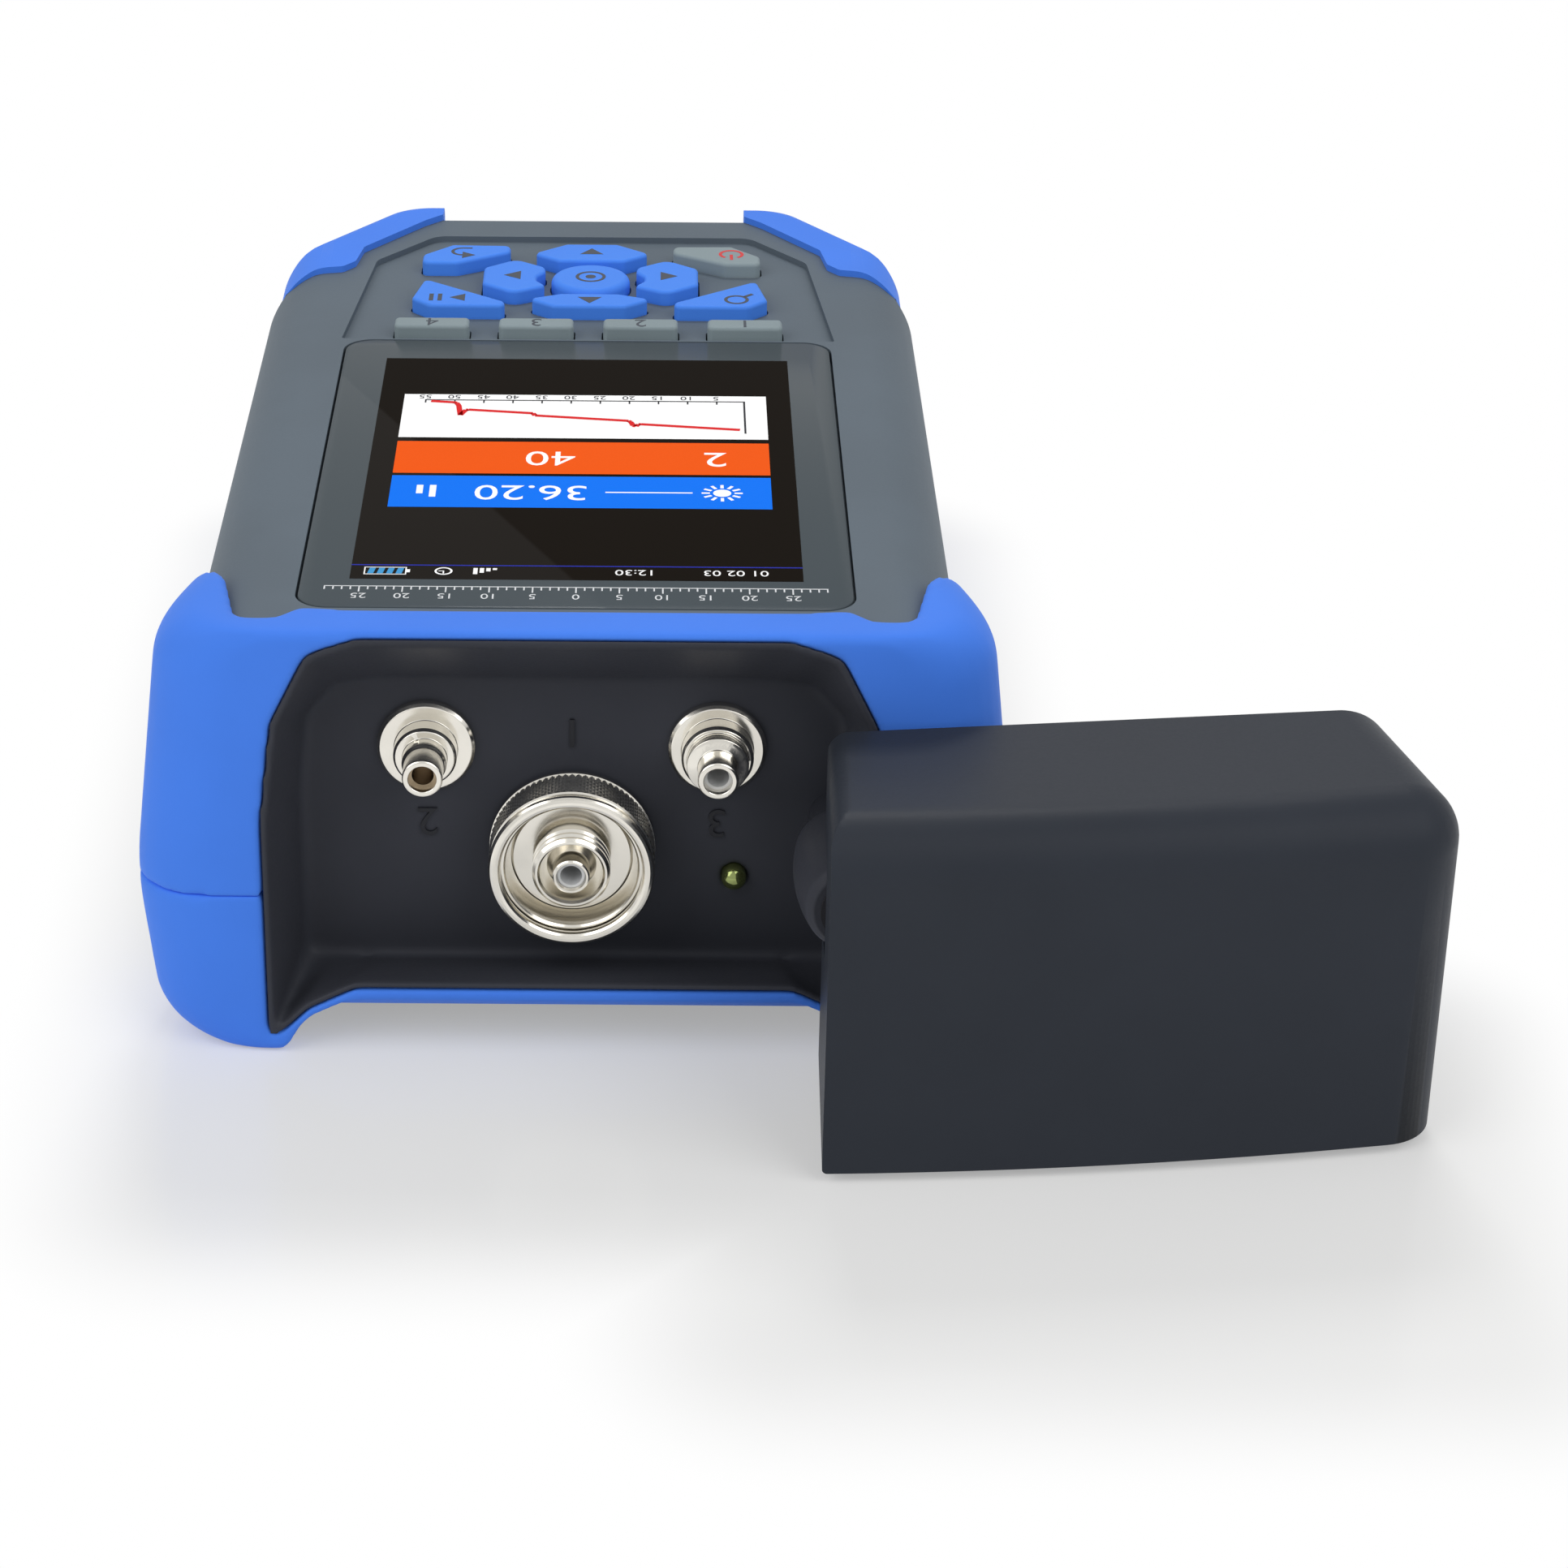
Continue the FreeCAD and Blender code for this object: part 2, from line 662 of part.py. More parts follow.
def pivot_axis():
    """Direction of the pivot, leaning so that the open cover is turned away from square."""
    tilt = math.radians(pivot_tilt)
    return vec(math.sin(tilt), -math.cos(tilt), 0)


def pivot_point():
    """Where the pivot's axis crosses the closed cover's rim plane."""
    return vec(pivot_x, along(-cover_gap), pivot_z)


def about_pivot(shape):
    """A shape built round the +Z axis at the origin, laid along the pivot from the panel."""
    turned_shape = shape.copy()
    turned_shape.rotate(vec(0, 0, 0), vec(1, 0, 0), 90)
    turned_shape.rotate(vec(0, 0, 0), vec(0, 0, 1), pivot_tilt)
    turned_shape.translate(pivot_point())
    return turned_shape


def cover_plan(inset, extra):
    """XY outline of the closed cover: flared sides, crowned outer end; extra opens the rim."""
    rim_y = along(-cover_gap) + extra
    end_y = along(-cover_gap - cover_depth)
    rim = cover_rim_half_width - inset
    outer = cover_half_width - inset
    slope = (cover_half_width - cover_rim_half_width) / (cover_depth - cover_crown)
    rim_here = rim - slope * extra
    left = vec(-outer, end_y + cover_crown + inset, 0)
    right = vec(outer, end_y + cover_crown + inset, 0)
    crown = Part.Arc(left, vec(0, end_y + inset, 0), right).toShape()
    sides = Part.makePolygon([right, vec(rim_here, rim_y, 0), vec(-rim_here, rim_y, 0), left])
    wire = Part.Wire([crown] + sides.Edges)
    wire.translate(vec(cover_centre_x, 0, 0))
    return wire


def cover_sides(inset, extra):
    """Closed cover's height and flared width as a loft, its near upper edge rounded."""
    slope = (cover_half_width - cover_rim_half_width) / (cover_depth - cover_crown)
    near = max(0.5, cover_near_radius - inset)
    outlines = []
    for back in (extra, -cover_depth - 1.0):
        half = cover_rim_half_width - inset - slope * back
        corners = [(cover_centre_x + half, cover_bottom + inset, near),
                   (cover_centre_x + half, cover_top - inset, cover_low_radius),
                   (cover_centre_x - half, cover_top - inset, cover_low_radius),
                   (cover_centre_x - half, cover_bottom + inset, cover_low_radius)]
        outlines.append(outline_xz(corners, along(-cover_gap) + back))
    return Part.makeLoft(outlines, True, True)


def cover_form(inset, extra):
    """Closed cover as a solid block, shrunk by inset on every side but the rim."""
    low = cover_bottom + inset
    wire = cover_plan(inset, extra)
    wire.translate(vec(0, 0, low))
    form = Part.Face(wire).extrude(vec(0, 0, cover_top - inset - low))
    end_y = along(-cover_gap - cover_depth) + inset
    upright = [edge for edge in form.Edges
               if edge.BoundBox.ZLength > 1.0 and edge.BoundBox.YMax < end_y + cover_crown + 0.5
               and edge.BoundBox.XMax < cover_centre_x]
    form = form.makeFillet(max(0.5, cover_corner_radius - inset), upright)
    bottom = [edge for edge in form.Edges
              if edge.BoundBox.ZMax < low + 0.01 and edge.BoundBox.YMin < along(-cover_gap) - 2.0
              and edge.BoundBox.XMin < cover_centre_x]
    return form.makeFillet(cover_edge_radius - inset, bottom).common(cover_sides(inset, extra))


def pivot_rod(radius, low, high):
    """Round rod on the pivot's axis, between two distances in front of the closed rim."""
    return about_pivot(Part.makeCylinder(radius, high - low, vec(0, 0, low)))


def hub_start():
    """Distance from the closed cover's rim to the hub that turns on the pin."""
    return boss_reach - cover_gap + boss_clearance


def make_cover():
    """The swivelling cover in its open place, with its hub and the room for the boss."""
    shell = cover_form(0.0, 0.0).cut(cover_form(cover_wall, 6.0))
    low = hub_start()
    hub = pivot_rod(hub_radius, low, low + hub_length).common(cover_form(0.4, 0.0))
    cover = fuse_all([shell, hub])
    cover = cover.cut(pivot_rod(boss_radius + boss_clearance, -12.0, low))
    cover = cover.cut(pivot_rod(pin_radius + running_gap, low - 1.0, low + hub_length + 1.0))
    head_room = pivot_rod(pin_head_radius + boss_clearance, low + hub_length,
                          low + hub_length + pin_head_height + 2 * boss_clearance)
    cover = cover.cut(head_room)
    cover.rotate(pivot_point(), pivot_axis(), 180)
    return cover


def make_pivot(frame, bay):
    """Domed boss that carries the cover, its washer, and the shoulder pin through both."""
    reach = boss_reach - cover_gap
    back = panel_depth + cover_gap
    waist = boss_radius - boss_swell
    foot = Part.makePolygon([vec(0, 0, -back - 0.6), vec(boss_foot_radius, 0, -back - 0.6),
                             vec(boss_foot_radius, 0, -back + 6.0), vec(waist, 0, -back + 8.0)])
    belly = Part.Arc(vec(waist, 0, -back + 8.0), vec(boss_radius, 0, (reach - back + 8.0) / 2),
                     vec(waist, 0, reach - 1.0)).toShape()
    cap = Part.makePolygon([vec(waist, 0, reach - 1.0), vec(waist - 1.0, 0, reach),
                            vec(0, 0, reach), vec(0, 0, -back - 0.6)])
    profile = Part.Wire(foot.Edges + [belly] + cap.Edges)
    boss = about_pivot(Part.Face(profile).revolve(vec(0, 0, 0), vec(0, 0, 1), 360))
    mouth = block(0.0, bay_half_width - bay_lip, -boss_reach - 5.0, 0.0, 0.0, bay_top)
    boss = boss.common(fuse_all([bay, mouth])).cut(frame)
    boss = boss.common(block(0.0, 60.0, -boss_reach - 5.0, panel_depth, 0.0, bay_top))
    boss = boss.cut(pivot_rod(pin_radius, -back - 2.0, reach + 1.0))
    washer = pivot_rod(washer_radius, reach + running_gap, reach + boss_clearance - running_gap)
    washer = washer.cut(pivot_rod(pin_radius + running_gap, reach - 1.0, reach + 2.0))
    tip = hub_start() + hub_length + running_gap
    pin = fuse_all([pivot_rod(pin_radius, 0.5 - back, tip),
                    pivot_rod(pin_head_radius, tip, tip + pin_head_height)])
    return {"cover_boss": boss, "cover_washer": washer, "cover_pin": pin}


# Screws

def make_screw(x, y, seat, bite, radius, head_radius, head_height):
    """Pan-head screw that enters upwards, with a cross recess in the head below its seat."""
    shank = rod_z(x, y, radius, seat - 0.1, seat + bite)
    head = rod_z(x, y, head_radius, seat - head_height, seat)
    screw = fuse_all([shank, head])
    reach = head_radius * 0.6
    depth = seat - head_height * 0.45
    for across, deep in ((reach, radius * 0.25), (radius * 0.25, reach)):
        slot = block(x - across, x + across, y - deep, y + deep, seat - head_height - 1.0, depth)
        screw = screw.cut(slot)
    return screw


def case_screw_places():
    """Places of the four case screws, Y counted from the port end."""
    return [(x, y) for x in (-post_x, post_x) for y in (post_start, post_end)]


def door_screw_places():
    """Places of the door's two screws, on the centre line."""
    reach = door_length / 2 - door_screw_inset
    return [(0, body_length / 2 - reach), (0, body_length / 2 + reach)]


def frame_screw_places():
    """Places of the four screws that hold the display's frame."""
    start = display_start - display_margin - frame_border + frame_ear_inset
    end = display_end + display_margin + frame_border - frame_ear_inset
    return [(x, y) for x in (-frame_ear_x, frame_ear_x) for y in (start, end)]


def keypad_screw_places():
    """Places of the four screws that hold the keypad's board."""
    return [(-28.8, 103.0), (28.8, 103.0), (-18.6, 131.6), (18.6, 131.6)]


def small_screws(places, seat):
    """Group of small screws at the given places, all seated at one height."""
    return Part.makeCompound([make_screw(x, y, seat, small_screw_bite, small_screw_radius,
                                         small_screw_head_radius, small_screw_head_height)
                              for x, y in places])


def bosses(places, radius, low, high):
    """Bored bosses for small screws, from low up to high."""
    hole = small_screw_radius + thread_gap
    return [rod_z(x, y, radius, low, high).cut(rod_z(x, y, hole, low - 1.0, low + small_screw_bite + 0.4))
            for x, y in places]


def drilled(shape, places, radius, low, high):
    """Shape with an upright hole at every place."""
    for x, y in places:
        shape = shape.cut(rod_z(x, y, radius, low, high))
    return shape


# Display stack, from the window down to its frame

window_low = deck_height - window_thickness
gasket_low = window_low - gasket_thickness
display_low = gasket_low - display_thickness
frame_low = display_low - frame_thickness


def rectangle(half_width, start, end, radius):
    """Outline centred across the body, between two distances behind the port-end plane."""
    return placed(mirrored([(half_width, end, radius), (half_width, start, radius)]))


def window_outline():
    """Outline of the window pane."""
    return rectangle(window_half_width, window_start, window_end, window_radius)


def display_outline(growth, radius):
    """Outline of the display module, grown outwards."""
    edge = display_margin + growth
    return rectangle(display_half_width + edge, display_start - edge, display_end + edge, radius)


def make_display_stack():
    """Window, gasket, display and the frame that carries it."""
    window = prism_z(window_outline(), window_low, deck_height + window_proud)
    window = smoothed(window, 0.3, lambda edge: edge.BoundBox.ZMin > deck_height)
    outer = prism_z(display_outline(0.0, 0.8), gasket_low, window_low)
    inner = prism_z(display_outline(-gasket_width, 0.8), gasket_low - 1.0, window_low + 1.0)
    display = prism_z(display_outline(0.0, 0.8), display_low, gasket_low)
    plate = prism_z(display_outline(frame_border, 1.5), frame_low, display_low)
    ears = [rod_z(x, y, frame_ear_radius, frame_low, display_low) for x, y in frame_screw_places()]
    ears += [block(min(0.0, x), max(0.0, x), y - frame_ear_radius, y + frame_ear_radius,
                   frame_low, display_low) for x, y in frame_screw_places()]
    frame = fuse_all([plate] + ears)
    frame = frame.cut(prism_z(display_outline(-2 * display_margin, 2.0), frame_low - 1.0,
                              display_low + 1.0))
    frame = drilled(frame, frame_screw_places(), small_screw_radius + hole_gap, frame_low - 1.0,
                    display_low + 1.0)
    return {"display_window": window, "display_gasket": outer.cut(inner),
            "display_module": display, "display_frame": frame,
            "display_screws": small_screws(frame_screw_places(), frame_low)}


# Keypad stack, from the keys' flanges down to their board

plate_low = deck_height - keypad_depth - keypad_plate
flange_low = plate_low - running_gap - key_flange_height
mat_high = flange_low - key_travel - mat_clearance
keypad_board_high = mat_high - mat_thickness
keypad_board_low = keypad_board_high - keypad_board_thickness


def keypad_plan(inset):
    """Outline of the keypad's board and mat."""
    half = [(21.5, 134.0, 3.0), (27.8, 124.2, 3.0), (31.6, 94.8, 2.0)]
    return grown(placed(mirrored(half)), -inset)


def make_keypad_stack():
    """Rubber mat under the keys, their board and its screws."""
    mat = prism_z(keypad_plan(0.6), keypad_board_high, mat_high)
    mat = drilled(mat, keypad_screw_places(), keypad_boss_radius + hole_gap, mat_high - 5.0,
                  mat_high + 5.0)
    board = prism_z(keypad_plan(0.0), keypad_board_low, keypad_board_high)
    board = drilled(board, keypad_screw_places(), small_screw_radius + hole_gap,
                    keypad_board_low - 1.0, mat_high)
    return {"keypad_mat": mat, "keypad_board": board,
            "keypad_screws": small_screws(keypad_screw_places(), keypad_board_low)}


# Board, optics and battery

board_low = parting_height
board_high = board_low + board_thickness


def make_board_stack():
    """Main board and what stands on it and under it."""
    slab = block(-60, 60, board_start, body_length, board_low, board_high)
    board = body_block(-shell_wall - board_edge_gap, shell_start).common(slab)
    board = drilled(board, case_screw_places(), screw_radius + hole_gap, board_low - 1.0,
                    board_high + 1.0)
    module = block(-module_half_width, module_half_width, module_start, module_end, board_high,
                   board_high + module_height)
    upright = [edge for edge in module.Edges if edge.BoundBox.ZLength > 1.0]
    module = module.makeFillet(2.0, upright)
    coil_low = board_high + module_height
    middle = (module_start + module_end) / 2
    coil = rod_z(0, middle, coil_radius, coil_low, coil_low + coil_height)
    coil = coil.cut(rod_z(0, middle, coil_radius - coil_width, coil_low - 1.0, coil_low + 9.0))
    shield_start = module_end + 6.0
    shield = block(-shield_half_width, shield_half_width, shield_start,
                   shield_start + shield_length, board_high, board_high + shield_height)
    buzzer = rod_z(shield_half_width + 12.0, shield_start + 8.0, buzzer_radius, board_high,
                   board_high + buzzer_height)
    bay_end = body_length / 2 + battery_length / 2 + battery_gap + battery_wall
    connector = block(-connector_half_width, connector_half_width, bay_end + seat_gap,
                      bay_end + seat_gap + connector_length, board_low - connector_height,
                      board_low)
    return {"main_board": board, "optical_module": module, "fibre_coil": coil,
            "processor_shield": shield, "buzzer": buzzer, "battery_connector": connector}


def battery_room(growth, low, high):
    """Room for the battery pack, grown outwards, between two heights."""
    half = battery_half_width + battery_gap + growth
    reach = battery_length / 2 + battery_gap + growth
    middle = body_length / 2
    return block(-half, half, middle - reach, middle + reach, low, high)


def door_outline(growth):
    """Outline of the battery door, grown outwards."""
    middle = body_length / 2
    return grown(rectangle(door_half_width, middle - door_length / 2, middle + door_length / 2,
                           door_radius), growth)


def make_battery():
    """Battery pack, the door over it and the door's screws."""
    middle = body_length / 2
    low = door_thickness + seat_gap
    pack = block(-battery_half_width, battery_half_width, middle - battery_length / 2,
                 middle + battery_length / 2, low, low + battery_height)
    pack = pack.makeFillet(1.5, [edge for edge in pack.Edges if edge.BoundBox.ZLength > 1.0])
    door = prism_z(door_outline(0.0), 0.0, door_thickness)
    seat = small_screw_head_height + seat_gap
    door = drilled(door, door_screw_places(), small_screw_head_radius + hole_gap, -1.0, seat)
    door = drilled(door, door_screw_places(), small_screw_radius + hole_gap, -1.0,
                   door_thickness + 1.0)
    return {"battery_pack": pack, "battery_door": door,
            "door_screws": small_screws(door_screw_places(), seat)}


# Shells

def shell_posts(low, high, hole):
    """Posts for the four case screws, trimmed to the body's inside, with their holes."""
    inside = body_block(-0.5, shell_start)
    posts = []
    for x, y in case_screw_places():
        post = rod_z(x, y, post_radius, low, high).common(inside)
        posts.append(post.cut(rod_z(x, y, hole, low - 1.0, high + 1.0)))
    return posts


def frame_rib(room, upper):
    """Cross wall of one shell that grips the port frame."""
    rib = block(-60, 60, frame_rib_start, frame_rib_start + frame_rib_thickness, -5, deck_height)
    return room.common(rib).common(half_space(upper))


def make_front_shell(bay, key_holes):
    """Upper grey shell with the window's seat, the keypad's plate, posts and bosses."""
    outer = body_block(0.0, shell_start).common(half_space(True))
    rim = [edge for edge in outer.Edges
           if edge.BoundBox.ZMin > deck_height - 0.01 and edge.CenterOfMass.y > base_y - 20.0]
    outer = outer.makeFillet(1.4, rim)
    keypad_floor = deck_height - keypad_depth
    recess = [(22.2, 134.8, 3.0), (30.0, 124.6, 3.0), (32.8, 94.2, 0.3)]
    recess = prism_z(placed(mirrored(recess)), keypad_floor, deck_height + 2.0)
    plate = prism_z(keypad_plan(-0.8), plate_low, keypad_floor)
    room = body_block(-shell_wall, shell_start - 2.0).cut(plate)
    shell = fuse_all([outer.cut(room), frame_rib(room, True)])
    extras = shell_posts(board_high, deck_height - 1.0, screw_radius + thread_gap)
    extras += bosses(frame_screw_places(), frame_boss_radius, display_low, deck_height - 2.0)
    extras += bosses(keypad_screw_places(), keypad_boss_radius, keypad_board_high, plate_low + 0.5)
    shell = fuse_all([shell] + extras).cut(recess).cut(bay)
    for hole in key_holes:
        shell = shell.cut(hole)
    seat = prism_z(grown(window_outline(), window_seam), window_low, deck_height + 2.0)
    through = prism_z(grown(window_outline(), -window_ledge), display_low - 0.5, deck_height)
    return shell.cut(seat).cut(through)


def make_rear_shell(bay):
    """Lower grey shell with the battery's bay, the door's recess, posts and the arch."""
    outer = body_block(0.0, shell_start).common(half_space(False))
    room = body_block(-shell_wall, shell_start - 2.0)
    arch_floor = arch_relief(shell_wall).common(outer)
    ceiling = door_thickness + seat_gap + battery_height + seat_gap
    box = battery_room(battery_wall, back_height + 1.0, ceiling + battery_wall)
    box = box.cut(battery_room(0.0, -1.0, ceiling))
    hole = small_screw_radius + thread_gap
    shell = fuse_all([outer.cut(room), arch_floor, frame_rib(room, False), box]
                     + shell_posts(back_height + 1.0, parting_height, screw_radius + hole_gap)
                     + [rod_z(x, y, door_boss_radius, back_height + 1.0, 9.0)
                        for x, y in door_screw_places()])
    shell = shell.cut(bay).cut(arch_relief(0.0))
    shell = shell.cut(prism_z(door_outline(door_gap), -2.0, door_thickness))
    shell = shell.cut(battery_room(0.0, -2.0, ceiling))
    shell = drilled(shell, door_screw_places(), hole, -1.0, 8.0)
    seat = back_height + screw_sink
    shell = drilled(shell, case_screw_places(), screw_head_radius + hole_gap, -1.0, seat)
    return drilled(shell, case_screw_places(), screw_radius + hole_gap, 0.0, parting_height + 1.0)


def case_screws():
    """Group of the four screws that clamp both shells and the board."""
    seat = back_height + screw_sink
    bite = board_high - seat + screw_bite
    return Part.makeCompound([make_screw(x, y, seat, bite, screw_radius, screw_head_radius,
                                         screw_head_height) for x, y in case_screw_places()])


def save(name, shape):
    """Write one node and say how large it is."""
    shape.exportStep(os.path.join("parts", name + ".step"))
    box = shape.BoundBox
    print("%-22s %d solid(s) %9.1f mm3  valid %s  x %.1f..%.1f y %.1f..%.1f z %.1f..%.1f" %
          (name, len(shape.Solids), shape.Volume, shape.isValid(), box.XMin, box.XMax, box.YMin,
           box.YMax, box.ZMin, box.ZMax))


def port_holes():
    """Holes in the port panel for the three ports and the lamp."""
    back = panel_depth + 6.0
    holes = [turned([(5, 0), (5, main_thread_radius + thread_gap),
                     (back, main_thread_radius + thread_gap), (back, 0)],
                    main_port_x, main_port_z)]
    for x in (meter_port_x, locator_port_x):
        holes.append(turned([(5, 0), (5, side_thread_radius + thread_gap),
                             (back, side_thread_radius + thread_gap), (back, 0)],
                            x, side_port_z))
    holes.append(turned([(5, 0), (5, indicator_radius + thread_gap),
                         (back, indicator_radius + thread_gap), (back, 0)],
                        indicator_x, indicator_z))
    return holes


def make_port_fittings():
    """Nuts behind the panel and the fibre pigtails that run from the ports to the optics."""
    main_nut = hex_nut(main_port_x, main_port_z, main_nut_across, main_thread_radius + thread_gap)
    side_nuts = [hex_nut(x, side_port_z, side_nut_across, side_thread_radius + thread_gap)
                 for x in (meter_port_x, locator_port_x)]
    pigtails = []
    for x, z, start in ((main_port_x, main_port_z, main_port_tail),
                        (meter_port_x, side_port_z, side_port_tail),
                        (locator_port_x, side_port_z, side_port_tail)):
        pigtails.append(turned([(panel_depth + start, 0.0),
                                (panel_depth + start, pigtail_radius),
                                (module_start, pigtail_radius), (module_start, 0.0)], x, z))
    return {"main_port_nut": main_nut, "side_port_nuts": Part.makeCompound(side_nuts),
            "fibre_pigtails": Part.makeCompound(pigtails)}


def make_port_bumpers(bay):
    """Upper and lower half of the rubber round the port end."""
    wrap = port_bumper_outer().common(prism_z(bumper_edge_plan(), -6.0, deck_height + 6.0))
    wrap = wrap.cut(body_block(0.0, shell_start)).cut(bay).cut(arch_relief(0.0))
    return {"port_bumper_upper": wrap.common(half_space(True)),
            "port_bumper_lower": wrap.common(half_space(False))}


def main():
    """Build every node."""
    os.makedirs("parts", exist_ok=True)
    nodes, key_holes = make_keys()
    bay = bay_outer()
    nodes["front_shell"] = make_front_shell(bay, key_holes)
    nodes["rear_shell"] = make_rear_shell(bay)
    nodes["case_screws"] = case_screws()
    nodes.update(make_display_stack())
    nodes.update(make_keypad_stack())
    nodes.update(make_board_stack())
    nodes.update(make_battery())
    nodes.update(make_port_bumpers(bay))
    nodes["base_bumper_left"], nodes["base_bumper_right"] = base_bumpers()
    nodes["port_frame"] = make_port_frame(bay, port_holes())
    nodes.update(make_main_port())
    nodes["meter_port"], nodes["meter_port_sleeve"] = make_side_port(meter_port_x, 3.7, 2.6)
    nodes["locator_port"], nodes["locator_port_sleeve"] = make_side_port(locator_port_x, 4.2, 3.6)
    nodes.update(make_port_fittings())
    nodes["indicator_lamp"] = make_indicator()
    nodes.update(make_pivot(nodes["port_frame"], bay))
    nodes["port_cover"] = make_cover()
    for name, shape in nodes.items():
        save(name, shape)


main()
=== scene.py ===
"""Looks of a handheld fibre test instrument that lies on its back with its port cover open.

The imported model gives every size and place. The user's end of the screen is the port end, so
everything printed on the deck reads from the base end: its right is -X and its up is -Y.
"""
import logging
import math
from dataclasses import dataclass, field
from enum import Enum
from typing import Any, Iterable, Sequence

import bmesh
import bpy
from mathutils import Matrix, Vector


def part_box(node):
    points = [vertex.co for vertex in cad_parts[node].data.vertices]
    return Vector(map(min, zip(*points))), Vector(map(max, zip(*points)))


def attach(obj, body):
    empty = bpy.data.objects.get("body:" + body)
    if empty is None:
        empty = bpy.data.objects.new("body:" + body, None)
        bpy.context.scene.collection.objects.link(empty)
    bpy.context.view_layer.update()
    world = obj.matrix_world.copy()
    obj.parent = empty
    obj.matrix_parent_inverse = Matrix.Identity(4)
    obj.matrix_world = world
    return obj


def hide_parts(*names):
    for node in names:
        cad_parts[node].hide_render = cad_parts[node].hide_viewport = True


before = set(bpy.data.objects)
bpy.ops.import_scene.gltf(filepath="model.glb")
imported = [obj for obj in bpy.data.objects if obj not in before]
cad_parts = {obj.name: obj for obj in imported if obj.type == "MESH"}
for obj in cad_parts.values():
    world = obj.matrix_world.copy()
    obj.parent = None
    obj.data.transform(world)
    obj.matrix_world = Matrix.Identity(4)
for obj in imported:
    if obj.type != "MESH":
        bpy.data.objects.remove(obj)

LOG = logging.getLogger("instrument")
MM = 0.001
INSTRUMENT = "instrument"
DIGIT_SHARE = 0.69    # height of a digit, as a share of the font's size

Colour = tuple[float, float, float]
Place = tuple[float, float, float]
Point = tuple[float, float]


# Shader maths

class Signal:
    """A number or colour inside a material, on which maths can be written."""

    def __init__(self, graph: "Graph", source: Any) -> None:
        """Wrap a node's output socket."""
        self.graph = graph
        self.source = source

    def _math(self, operation: str, *values: Any) -> "Signal":
        """Add one Math node and return its output."""
        sockets = {index: value for index, value in enumerate(values)}
        return self.graph.node("ShaderNodeMath", {"operation": operation}, sockets)

    def __add__(self, other: Any) -> "Signal":
        """Sum."""
        return self._math("ADD", self, other)

    __radd__ = __add__

    def __sub__(self, other: Any) -> "Signal":
        """Difference."""
        return self._math("SUBTRACT", self, other)

    def __rsub__(self, other: Any) -> "Signal":
        """Difference from a plain number."""
        return self._math("SUBTRACT", other, self)

    def __mul__(self, other: Any) -> "Signal":
        """Product."""
        return self._math("MULTIPLY", self, other)

    __rmul__ = __mul__

    def __truediv__(self, other: Any) -> "Signal":
        """Quotient."""
        return self._math("DIVIDE", self, other)

    def __pow__(self, other: Any) -> "Signal":
        """Power."""
        return self._math("POWER", self, other)

    def size(self) -> "Signal":
        """Value without its sign."""
        return self._math("ABSOLUTE", self)

    def most(self, other: Any) -> "Signal":
        """The larger of two values."""
        return self._math("MAXIMUM", self, other)

    def least(self, other: Any) -> "Signal":
        """The smaller of two values."""
        return self._math("MINIMUM", self, other)

    def step(self, low: float, high: float) -> "Signal":
        """Smooth rise from 0 at low to 1 at high."""
        settings = {"interpolation_type": "SMOOTHSTEP", "clamp": True}
        return self.graph.node("ShaderNodeMapRange", settings,
                               {"Value": self, "From Min": low, "From Max": high})


